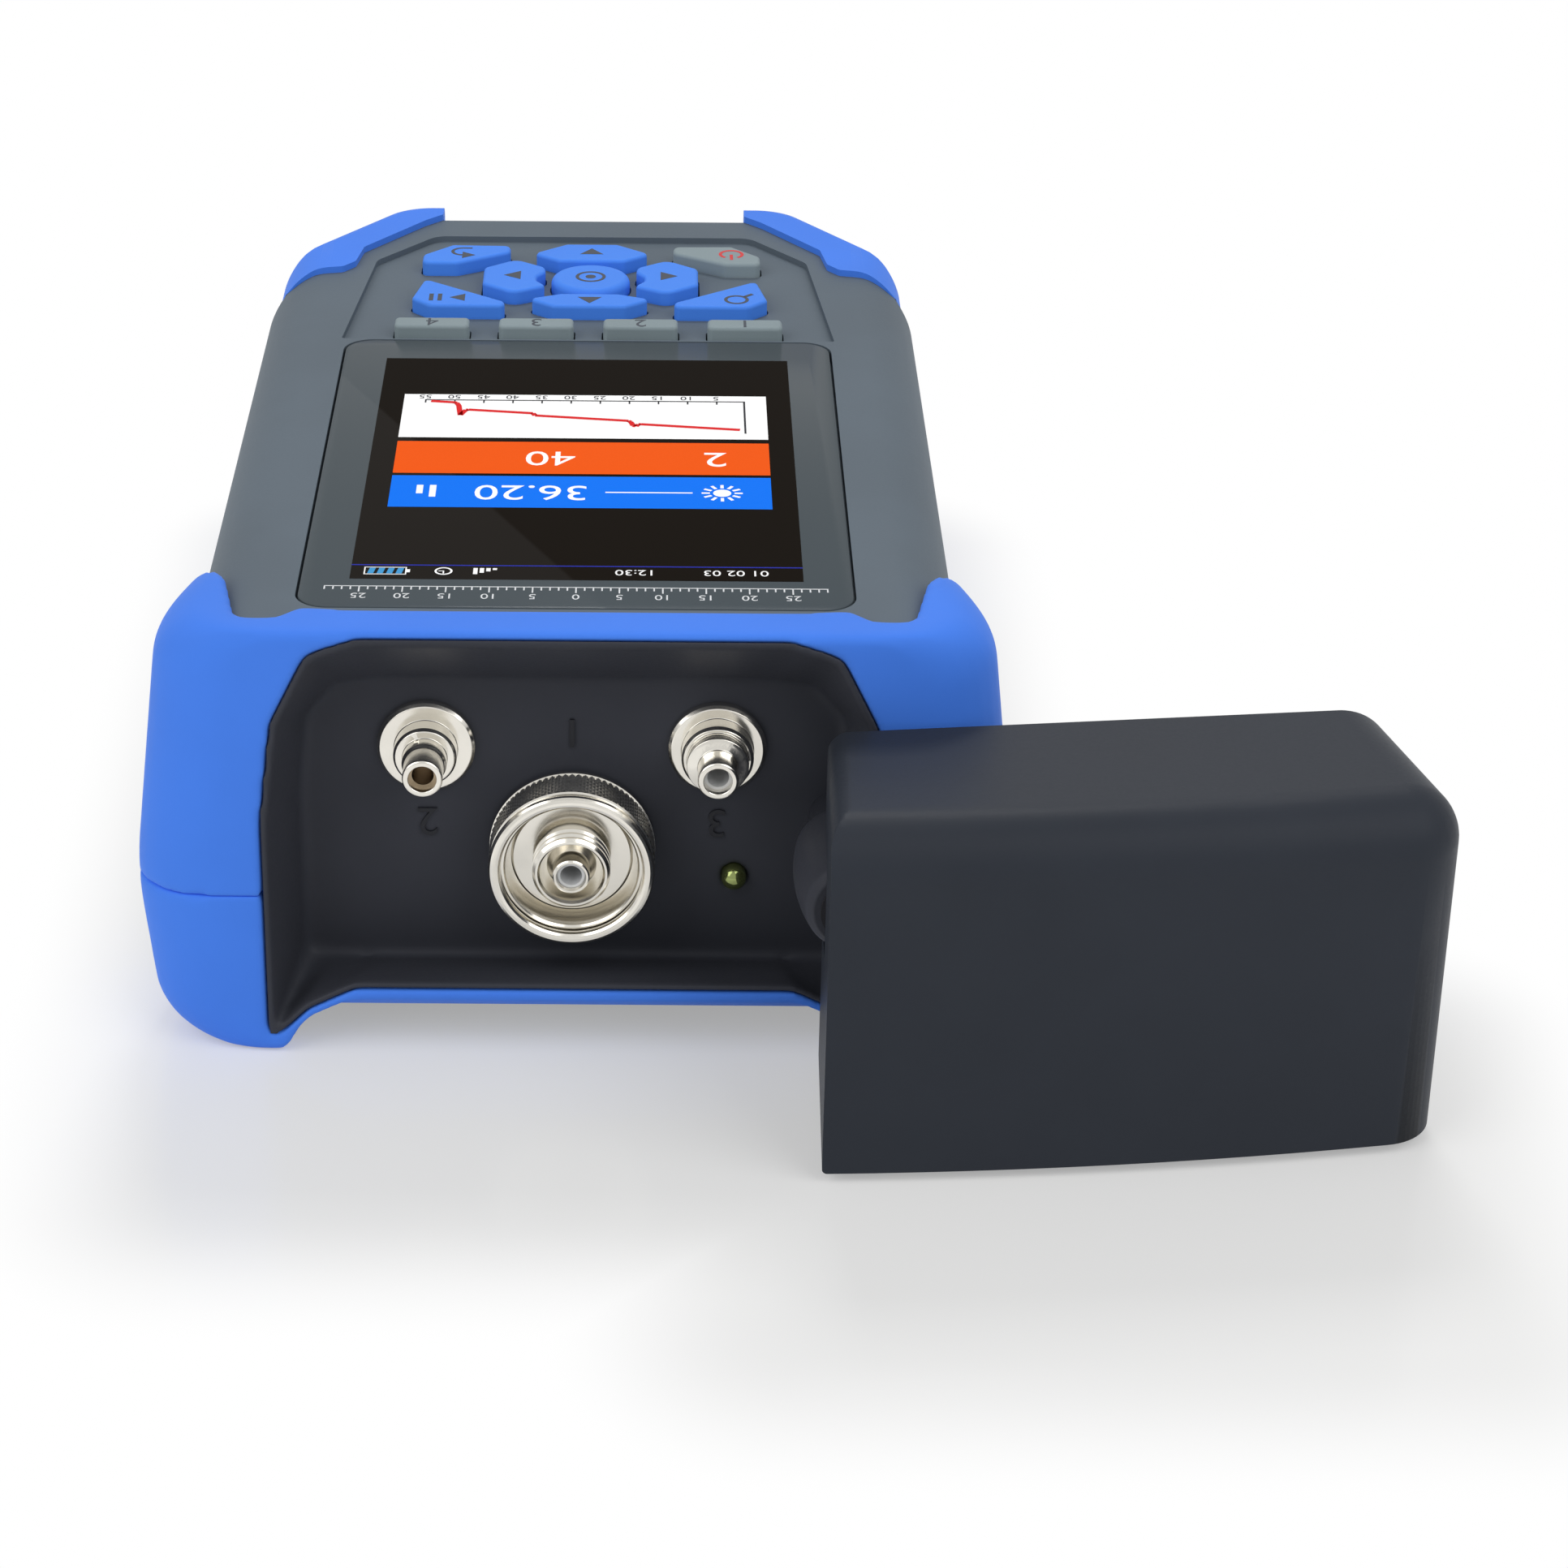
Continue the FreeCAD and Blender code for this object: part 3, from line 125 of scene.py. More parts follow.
class Graph:
    """Node tree of a material or of the world."""

    def __init__(self, owner: bpy.types.Material | bpy.types.World) -> None:
        """Empty the owner's node tree."""
        owner.use_nodes = True
        self.owner = owner
        self.tree = owner.node_tree
        self.tree.nodes.clear()

    @classmethod
    def of_material(cls, name: str) -> "Graph":
        """Graph of a new material."""
        return cls(bpy.data.materials.new(name))

    def node(self, kind: str, settings: dict[str, Any] | None = None,
             sockets: dict[Any, Any] | None = None, output: Any = 0) -> Signal:
        """Add a node.

        Args:
            kind: The node's type.
            settings: Attributes that are set before its sockets.
            sockets: Socket name or number to a value or a Signal.
            output: Name or number of the output that is wanted.

        Returns:
            The wanted output, which is empty for a node that ends the graph.
        """
        made = self.tree.nodes.new(kind)
        for key, value in (settings or {}).items():
            setattr(made, key, value)
        for key, value in (sockets or {}).items():
            socket = made.inputs[key]
            if isinstance(value, Signal):
                self.tree.links.new(value.source, socket)
            else:
                socket.default_value = value
        return Signal(self, made.outputs[output] if made.outputs else None)

    def place(self) -> Signal:
        """Place on the piece in metres, which doesn't move with the piece."""
        return self.node("ShaderNodeTexCoord", output="Object")

    def axes(self) -> tuple[Signal, Signal]:
        """The place's parts along X and Y, in metres."""
        place = self.place()
        across, along = (self.node("ShaderNodeSeparateXYZ", None, {0: place}, axis)
                         for axis in ("X", "Y"))
        return across, along

    def seen(self) -> Signal:
        """1 for a ray by which the surface is seen, straight or in another one, otherwise 0."""
        camera, glossy, clear = (self.node("ShaderNodeLightPath", output=f"Is {ray} Ray")
                                 for ray in ("Camera", "Glossy", "Transmission"))
        return camera.most(glossy).most(clear)

    def noise(self, scale: float, detail: float = 3.0, stretch: Place = (1.0, 1.0, 1.0)) -> Signal:
        """Noise from 0 to 1.

        Args:
            scale: Waves per metre.
            detail: Number of finer layers.
            stretch: Factor on each axis.

        Returns:
            The noise's value.
        """
        place = self.node("ShaderNodeMapping", None, {"Vector": self.place(), "Scale": stretch})
        return self.node("ShaderNodeTexNoise", None,
                         {"Vector": place, "Scale": scale, "Detail": detail})

    def tint(self, factor: Signal, low: Colour, high: Colour) -> Signal:
        """Colour between two colours."""
        return self.node("ShaderNodeMix", {"data_type": "RGBA"},
                         {0: factor, 6: (*low, 1.0), 7: (*high, 1.0)}, 2)

    def bump(self, height: Signal, depth: float, strength: float = 1.0) -> Signal:
        """Normal from a height between 0 and 1, depth being in metres."""
        return self.node("ShaderNodeBump", None,
                         {"Height": height, "Distance": depth, "Strength": strength})

    def surface(self, **values: Any) -> bpy.types.Material:
        """End the graph in a Principled surface; a name's underscores stand for spaces."""
        sockets = {key.replace("_", " "): value for key, value in values.items()}
        self.end(self.node("ShaderNodeBsdfPrincipled", None, sockets))
        return self.owner

    def end(self, shader: Signal, kind: str = "ShaderNodeOutputMaterial") -> None:
        """Join a shader to the graph's output."""
        self.node(kind, None, {"Surface": shader})


def shade(colour: Colour, factor: float) -> Colour:
    """Colour times a factor, held within 1."""
    red, green, blue = (min(1.0, part * factor) for part in colour)
    return red, green, blue


# Finishes

@dataclass(frozen=True)
class Moulding:
    """Moulded plastic or rubber with a spark-eroded grain."""

    name: str
    colour: Colour
    roughness: float = 0.5
    grain: float = 0.45
    grain_depth: float = 0.03
    variation: float = 0.05
    specular: float = 0.12
    sheen: float = 0.0
    coat: float = 0.0
    metallic: float = 0.0

    def build(self) -> bpy.types.Material:
        """Material with grain in its relief, and slow changes in colour and gloss."""
        graph = Graph.of_material(self.name)
        fine = graph.noise(1.0 / (self.grain * MM), 2.0)
        broad = graph.noise(45.0, 4.0)
        colour = graph.tint(broad.step(0.3, 0.7), shade(self.colour, 1.0 - self.variation),
                            shade(self.colour, 1.0 + self.variation))
        roughness = self.roughness + (fine - 0.5) * 0.12 + (broad - 0.5) * 0.1
        normal = graph.bump(fine, self.grain_depth * MM, 0.35)
        return graph.surface(Base_Color=colour, Roughness=roughness, Normal=normal,
                             Specular_IOR_Level=self.specular, Metallic=self.metallic,
                             Sheen_Weight=self.sheen, Sheen_Roughness=0.5,
                             Coat_Weight=self.coat, Coat_Roughness=0.25)


@dataclass(frozen=True)
class Turned:
    """Bright metal with the fine rings of a lathe about an axis along Y."""

    name: str
    colour: Colour = (0.83, 0.80, 0.73)
    roughness: float = 0.17
    ring: float = 0.12

    def build(self) -> bpy.types.Material:
        """Material whose gloss and relief change in rings along Y."""
        graph = Graph.of_material(self.name)
        rings = graph.noise(1.0 / (self.ring * MM), 2.0, (0.02, 1.0, 0.02))
        broad = graph.noise(300.0, 3.0)
        colour = graph.tint(broad.step(0.3, 0.7), shade(self.colour, 0.94), self.colour)
        roughness = self.roughness + (rings - 0.5) * 0.14 + (broad - 0.5) * 0.08
        normal = graph.bump(rings, 0.004 * MM, 0.3)
        return graph.surface(Base_Color=colour, Roughness=roughness, Metallic=1.0, Normal=normal)


@dataclass(frozen=True)
class Pane:
    """Glossy hard-coated surface over a print.

    A glossier coat on one side of a slanted line is a painted reflection, standing in for a glare.
    The glare's point is a point of that line and its edge half the width of the coat's soft edge,
    both in mm.
    """

    name: str
    colour: Colour
    glow: float = 0.0
    roughness: float = 0.06
    specular: float = 0.03
    glare_coat: float = 0.0
    glare_point: Point = (-30.7, 6.5)
    glare_slope: float = 2.041
    glare_edge: float = 0.35

    def build(self) -> bpy.types.Material:
        """Material with faint smears in its gloss and, on a lit screen, its own light."""
        graph = Graph.of_material(self.name)
        across, along = graph.axes()
        # Painted reflection: the coat is glossier on one side of a slanted line, standing in for a
        # glare.
        foot = self.glare_point[1] + self.glare_point[0] * self.glare_slope
        steepness = math.hypot(1.0, self.glare_slope)
        beside = (along + across * self.glare_slope - foot * MM) / (steepness * MM)
        glare_coat = (1.0 - beside.step(-self.glare_edge, self.glare_edge)) * self.glare_coat
        smear = graph.noise(60.0, 4.0, (1.0, 0.4, 1.0))
        print_grain = graph.noise(5000.0, 1.0)
        colour = graph.tint(print_grain, shade(self.colour, 0.97), shade(self.colour, 1.03))
        roughness = self.roughness + smear * 0.08
        return graph.surface(Base_Color=colour, Roughness=roughness, Coat_Weight=glare_coat,
                             Coat_Roughness=0.08, Specular_IOR_Level=self.specular,
                             Emission_Color=(*self.colour, 1.0), Emission_Strength=self.glow)


@dataclass(frozen=True)
class Ink:
    """Pad print or paint that lies on a moulding."""

    name: str
    colour: Colour
    roughness: float = 0.55

    def build(self) -> bpy.types.Material:
        """Material with slight wear in its colour."""
        graph = Graph.of_material(self.name)
        wear = graph.noise(2500.0, 3.0)
        colour = graph.tint(wear.step(0.35, 0.75), self.colour, shade(self.colour, 1.25))
        return graph.surface(Base_Color=colour, Roughness=self.roughness + (wear - 0.5) * 0.1,
                             Normal=graph.bump(wear, 0.005 * MM, 0.3))


CASE_GREY: Colour = (0.124, 0.156, 0.188)
RUBBER_BLUE: Colour = (0.072, 0.250, 0.960)
MOULD_BLACK: Colour = (0.048, 0.051, 0.064)
COVER_SLATE: Colour = (0.030, 0.035, 0.046)
KEY_BLUE: Colour = (0.080, 0.285, 1.000)
KEY_GREY: Colour = (0.275, 0.340, 0.365)


class Finish(Enum):
    """Every finish on the instrument."""

    CASE = Moulding("case_grey", CASE_GREY, roughness=0.55, grain=0.30)
    RUBBER = Moulding("bumper_blue", RUBBER_BLUE, roughness=0.60, grain=0.50, grain_depth=0.02,
                      variation=0.03, sheen=0.05)
    TRAY = Moulding("tray_black", MOULD_BLACK, roughness=0.48, grain=0.35)
    MARK = Moulding("tray_mark", shade(MOULD_BLACK, 0.45), roughness=0.35, specular=0.2)
    COVER = Moulding("cover_slate", COVER_SLATE, roughness=0.46, grain=0.40, grain_depth=0.02,
                     specular=0.13)
    KEY_BLUE = Moulding("keycap_blue", KEY_BLUE, roughness=0.52, grain=0.40, variation=0.03)
    KEY_GREY = Moulding("keycap_grey", KEY_GREY, roughness=0.52, grain=0.40)
    BLACK = Moulding("plain_black", (0.02, 0.02, 0.02), roughness=0.5)
    BOARD = Moulding("board_resist", (0.02, 0.12, 0.05), roughness=0.35)
    SILICONE = Moulding("silicone_mat", (0.55, 0.56, 0.54), roughness=0.6)
    WRAP = Moulding("wrap_shrunk", (0.04, 0.10, 0.28), roughness=0.3, coat=0.3)
    FIBRE = Moulding("fibre_jacket", (0.75, 0.52, 0.05), roughness=0.4)
    NYLON = Moulding("nylon_black", (0.03, 0.03, 0.035), roughness=0.45)
    PIN = Turned("pin_blackened", (0.06, 0.06, 0.065), roughness=0.4)
    SLEEVE = Moulding("sleeve_white", (0.72, 0.73, 0.74), roughness=0.22, grain=0.1,
                      grain_depth=0.002, coat=0.4)
    NICKEL = Turned("nickel_bright")
    BRONZE = Turned("bronze_dark", (0.34, 0.27, 0.19), roughness=0.24)
    KNURL = Turned("nickel_knurl", (0.50, 0.49, 0.47), roughness=0.30)
    STEEL = Turned("steel_plated", (0.55, 0.55, 0.55), roughness=0.3, ring=0.3)
    HOUSING = Turned("housing_aluminium", (0.72, 0.72, 0.73), roughness=0.35, ring=0.4)
    LAMP = Moulding("lamp_dome", (0.30, 0.35, 0.13), roughness=0.10, grain=0.2,
                    grain_depth=0.003, metallic=0.85)
    # Border and screen carry the painted reflection: a glossier coat band standing in for a glare.
    BORDER = Pane("window_border", (0.082, 0.100, 0.112), roughness=0.16, specular=0.02,
                  glare_coat=0.09)
    SCREEN = Pane("screen_dark", (0.010, 0.007, 0.0045), roughness=0.10, specular=0.005,
                  glare_coat=0.08)
    SCREEN_WHITE = Pane("screen_white", (0.94, 0.94, 0.94), glow=0.20)
    SCREEN_ORANGE = Pane("screen_orange", (0.92, 0.105, 0.004), glow=0.10, specular=0.01)
    SCREEN_BLUE = Pane("screen_blue", (0.003, 0.185, 0.950), glow=0.10, specular=0.01)
    SCREEN_RED = Pane("screen_red", (0.80, 0.010, 0.012), glow=0.05)
    SCREEN_INK = Pane("screen_ink", (0.030, 0.032, 0.040))
    SCREEN_LINE = Pane("screen_line", (0.020, 0.030, 0.420), glow=0.05)
    SCREEN_CELL = Pane("screen_cell", (0.060, 0.350, 0.700), glow=0.05)
    PRINT = Ink("print_white", (0.72, 0.74, 0.76))
    INK_DARK = Ink("ink_dark", (0.022, 0.030, 0.048))
    INK_RED = Ink("ink_red", (0.62, 0.02, 0.02))

    def material(self) -> bpy.types.Material:
        """The finish's material, built once."""
        return bpy.data.materials.get(self.value.name) or self.value.build()


# Pieces

def clean(mesh: bpy.types.Mesh, angle: float) -> None:
    """Merge a mesh's doubles and shade it smooth except at edges sharper than angle, in degrees."""
    bm = bmesh.new()
    bm.from_mesh(mesh)
    bmesh.ops.remove_doubles(bm, verts=bm.verts, dist=0.002 * MM)
    bmesh.ops.dissolve_degenerate(bm, dist=0.001 * MM, edges=bm.edges)
    bmesh.ops.dissolve_limit(bm, angle_limit=math.radians(0.2), verts=bm.verts, edges=bm.edges)
    for face in bm.faces:
        face.smooth = True
    bm.to_mesh(mesh)
    bm.free()
    mesh.set_sharp_from_angle(angle=math.radians(angle))


@dataclass
class Piece:
    """One visible piece of the scene."""

    name: str
    finish: Finish
    body: str = INSTRUMENT
    stands_for: tuple[str, ...] = ()
    slot: str = ""

    def finished(self, mesh: bpy.types.Mesh) -> bpy.types.Object:
        """Make the mesh an object that rides on its body.

        Args:
            mesh: The piece's mesh, in its place.

        Returns:
            The new object.
        """
        made = bpy.data.objects.new(self.name, mesh)
        bpy.context.scene.collection.objects.link(made)
        mesh.materials.clear()
        mesh.materials.append(self.finish.material())
        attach(made, self.body)
        if self.stands_for:
            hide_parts(*self.stands_for)
        LOG.info("%s: %d faces", self.name, len(mesh.polygons))
        return made

    def from_bmesh(self, bm: bmesh.types.BMesh, angle: float = 35.0) -> bpy.types.Object:
        """Finish a bmesh, with its normals turned outwards.

        Args:
            bm: The shape, which is freed.
            angle: Edges sharper than this, in degrees, stay sharp.

        Returns:
            The new object.
        """
        bmesh.ops.remove_doubles(bm, verts=bm.verts, dist=0.0005 * MM)
        bmesh.ops.recalc_face_normals(bm, faces=bm.faces)
        mesh = bpy.data.meshes.new(self.name)
        bm.to_mesh(mesh)
        bm.free()
        for polygon in mesh.polygons:
            polygon.use_smooth = True
        mesh.set_sharp_from_angle(angle=math.radians(angle))
        return self.finished(mesh)


def skin(node: str, finish: Finish, body: str, angle: float = 32.0, edge: float = 0.0,
         slot: str = "") -> bpy.types.Object:
    """Stand a smooth-shaded copy in for a CAD node.

    Args:
        node: The node that it stands for.
        finish: Its finish.
        body: The body that carries it.
        angle: Edges sharper than this, in degrees, stay sharp.
        edge: Radius of a bevel on the sharp edges, in mm, or 0 for none.
        slot: The record's material slot, which is not used.

    Returns:
        The new object.
    """
    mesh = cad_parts[node].data.copy()
    mesh.name = node + "_skin"
    clean(mesh, angle)
    made = Piece(node + "_skin", finish, body, (node,), slot).finished(mesh)
    if edge:
        bevel = made.modifiers.new("edge", "BEVEL")
        bevel.width = edge * MM
        bevel.segments = 2
        bevel.limit_method = "ANGLE"
        bevel.angle_limit = math.radians(angle)
        bevel.use_clamp_overlap = True
    even = made.modifiers.new("even", "WEIGHTED_NORMAL")
    even.mode = "FACE_AREA"
    even.keep_sharp = True
    return made


def soften(node: str, finish: Finish, body: str, grid: float = 0.5, rounds: int = 9,
           slot: str = "") -> bpy.types.Object:
    """Stand a copy with softly rounded edges in for a CAD node.

    Args:
        node: The node that it stands for.
        finish: Its finish.
        body: The body that carries it.
        grid: Size of the new surface's faces, in mm.
        rounds: How often the surface is smoothed.
        slot: The record's material slot, which is not used.

    Returns:
        The new object.
    """
    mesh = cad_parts[node].data.copy()
    mesh.name = node + "_soft"
    clean(mesh, 180.0)
    made = Piece(node + "_soft", finish, body, (node,), slot).finished(mesh)
    fine = made.modifiers.new("fine", "REMESH")
    fine.mode = "VOXEL"
    fine.voxel_size = grid * MM
    fine.use_smooth_shade = True
    smooth = made.modifiers.new("smooth", "SMOOTH")
    smooth.factor = 0.5
    smooth.iterations = rounds
    return made


def dress(nodes: Iterable[str], finish: Finish) -> None:
    """Give CAD nodes a finish, leaving their shapes alone."""
    for node in nodes:
        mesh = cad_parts[node].data
        mesh.materials.clear()
        mesh.materials.append(finish.material())


@dataclass
class Sheet:
    """Flat drawing that becomes thin plates on the deck or on the port panel.

    The drawing's right and up are the user's, so they point to -X and -Y on the deck.
    """

    centre: Vector
    upright: bool = False
    thickness: float = 0.04 * MM
    scale: float = 1.0
    bm: bmesh.types.BMesh = field(default_factory=bmesh.new)

    def matrix(self) -> Matrix:
        """Turn from the drawing to the instrument."""
        up = Vector((0, 0, -1)) if self.upright else Vector((0, -1, 0))
        out = Vector((0, -1, 0)) if self.upright else Vector((0, 0, 1))
        turn = Matrix((Vector((-1, 0, 0)), up, out)).transposed().to_4x4()
        return Matrix.Translation(self.centre) @ turn @ Matrix.Diagonal(
            (self.scale, self.scale, 1.0, 1.0))

    def polygon(self, points: Sequence[Point]) -> None:
        """Add a filled outline, its points in mm."""
        corners = [self.bm.verts.new((a * MM, b * MM, 0.0)) for a, b in points]
        self.bm.faces.new(corners)

    def bar(self, left: float, right: float, low: float, high: float) -> None:
        """Add a filled rectangle, in mm."""
        self.polygon([(left, low), (right, low), (right, high), (left, high)])

    def arc(self, centre: Point, inner: float, outer: float, start: float = 0.0,
            end: float = 360.0) -> None:
        """Add a ring or a part of one, radii in mm and angles in degrees."""
        whole = abs(end - start) >= 360.0
        first = math.radians(start)
        ends = [self.bm.verts.new(((centre[0] + radius * math.cos(first)) * MM,
                                   (centre[1] + radius * math.sin(first)) * MM, 0.0))
                for radius in (inner, outer)]
        edge = self.bm.edges.new(ends)
        steps = max(6, int(abs(end - start) / 12))
        bmesh.ops.spin(self.bm, geom=[edge, *ends], axis=(0, 0, 1), steps=steps,
                       cent=(centre[0] * MM, centre[1] * MM, 0), angle=math.radians(end - start),
                       use_merge=whole)

    def disc(self, centre: Point, radius: float) -> None:
        """Add a filled disc, in mm."""
        place = Matrix.Translation((centre[0] * MM, centre[1] * MM, 0))
        bmesh.ops.create_circle(self.bm, cap_ends=True, segments=32, radius=radius * MM,
                                matrix=place)

    def ribbon(self, points: Sequence[Point], width: float) -> None:
        """Add a line of that width through points, in mm."""
        half = width / 2
        for (a, b), (c, d) in zip(points, points[1:]):
            length = math.hypot(c - a, d - b) or 1.0
            shift = ((b - d) / length * half, (c - a) / length * half)
            self.polygon([(a - shift[0], b - shift[1]), (c - shift[0], d - shift[1]),
                          (c + shift[0], d + shift[1]), (a + shift[0], b + shift[1])])

    def number(self, text: str, height: float, middle: Point = (0.0, 0.0)) -> None:
        """Add plain digits.

        Args:
            text: The digits.
            height: Height of a digit in mm.
            middle: Middle of the number, in mm.
        """
        curve = bpy.data.curves.new("digits", "FONT")
        curve.body = text
        curve.size = height * MM / DIGIT_SHARE
        curve.align_x = "CENTER"
        curve.align_y = "CENTER"
        curve.resolution_u = 4
        holder = bpy.data.objects.new("digits", curve)
        bpy.context.scene.collection.objects.link(holder)
        mesh = bpy.data.meshes.new_from_object(holder)
        mesh.transform(Matrix.Translation((middle[0] * MM, middle[1] * MM, 0)))
        self.bm.from_mesh(mesh)
        bpy.data.meshes.remove(mesh)
        bpy.data.objects.remove(holder)
        bpy.data.curves.remove(curve)

    def piece(self, name: str, finish: Finish, body: str = INSTRUMENT) -> bpy.types.Object:
        """Give the drawing its thickness and make it a piece."""
        bmesh.ops.remove_doubles(self.bm, verts=self.bm.verts, dist=0.001 * MM)
        faces = list(self.bm.faces)
        for face in faces:
            if face.normal.z < 0:
                face.normal_flip()
        raised = bmesh.ops.extrude_face_region(self.bm, geom=faces)["geom"]
        corners = [item for item in raised if isinstance(item, bmesh.types.BMVert)]
        bmesh.ops.translate(self.bm, verts=corners, vec=(0, 0, self.thickness))
        bmesh.ops.transform(self.bm, matrix=self.matrix(), verts=self.bm.verts)
        return Piece(name, finish, body).from_bmesh(self.bm, 30.0)


def plate(low: Vector, high: Vector, corner: float, edge: float) -> bmesh.types.BMesh:
    """Flat plate with rounded corners and a rounded top edge.

    Args:
        low: Lowest corner, in metres.
        high: Highest corner, in metres.
        corner: Radius of its upright corners, in mm.
        edge: Radius of its top edge, in mm.

    Returns:
        The shape.
    """
    bm = bmesh.new()
    size = high - low
    place = Matrix.Translation((low + high) / 2) @ Matrix.Diagonal((*size, 1.0))
    bmesh.ops.create_cube(bm, size=1.0, matrix=place)
    upright = [line for line in bm.edges if abs(line.verts[0].co.z - line.verts[1].co.z) > 1e-6]
    bmesh.ops.bevel(bm, geom=upright, offset=corner * MM, segments=8, affect="EDGES",
                    profile=0.5, material=-1)
    top = [line for line in bm.edges
           if all(abs(corner.co.z - high.z) < 1e-7 for corner in line.verts)
           and len(line.link_faces) == 2
           and any(face.normal.z < 0.5 for face in line.link_faces)]
    bmesh.ops.bevel(bm, geom=top, offset=edge * MM, segments=2, affect="EDGES", profile=0.5,
                    material=-1)
    return bm


def turned(profile: Sequence[Point], centre: Vector, steps: int = 96) -> bmesh.types.BMesh:
    """Shape turned about an axis along Y.

    Args:
        profile: Closed outline, each point a radius and a distance behind the centre, in mm.
        centre: Point on the axis, in metres.
        steps: Number of steps in a full turn.

    Returns:
        The shape.
    """
    bm = bmesh.new()
    corners = [bm.verts.new((centre.x + radius * MM, centre.y + along * MM, centre.z))
               for radius, along in profile]
    lines = [bm.edges.new(pair) for pair in zip(corners, corners[1:] + corners[:1])]
    bmesh.ops.spin(bm, geom=[*corners, *lines], cent=centre, axis=(0, 1, 0), steps=steps,
                   angle=math.tau, use_merge=True)
    bmesh.ops.remove_doubles(bm, verts=bm.verts, dist=0.0005 * MM)
    return bm


# Sub-assemblies

@dataclass
class Case:
    """Both grey shells, the battery door and the blue rubber round them; edge radii in mm."""

    shell_edge: float = 0.2
    door_edge: float = 0.25
    rubber_edge: float = 0.6
    shells: tuple[str, ...] = ("front_shell", "rear_shell")
    port_bumpers: tuple[str, ...] = ("port_bumper_upper", "port_bumper_lower")
    base_bumpers: tuple[str, ...] = ("base_bumper_left", "base_bumper_right")

    def build(self) -> None:
        """Dress the case."""
        for node in self.shells:
            skin(node, Finish.CASE, INSTRUMENT, edge=self.shell_edge, slot="grey_case")
        skin("battery_door", Finish.CASE, INSTRUMENT, edge=self.door_edge, slot="grey_case")
        for node in self.port_bumpers:
            soften(node, Finish.RUBBER, INSTRUMENT, slot="blue_rubber")
        for node in self.base_bumpers:
            skin(node, Finish.RUBBER, INSTRUMENT, edge=self.rubber_edge, slot="blue_rubber")
        dress(("case_screws", "door_screws"), Finish.STEEL)


@dataclass(frozen=True)
class Event:
    """Step in the trace: place and spread are shares of its length, drop and peak are in mm."""

    place: float
    drop: float
    peak: float = 0.0
    spread: float = 0.01


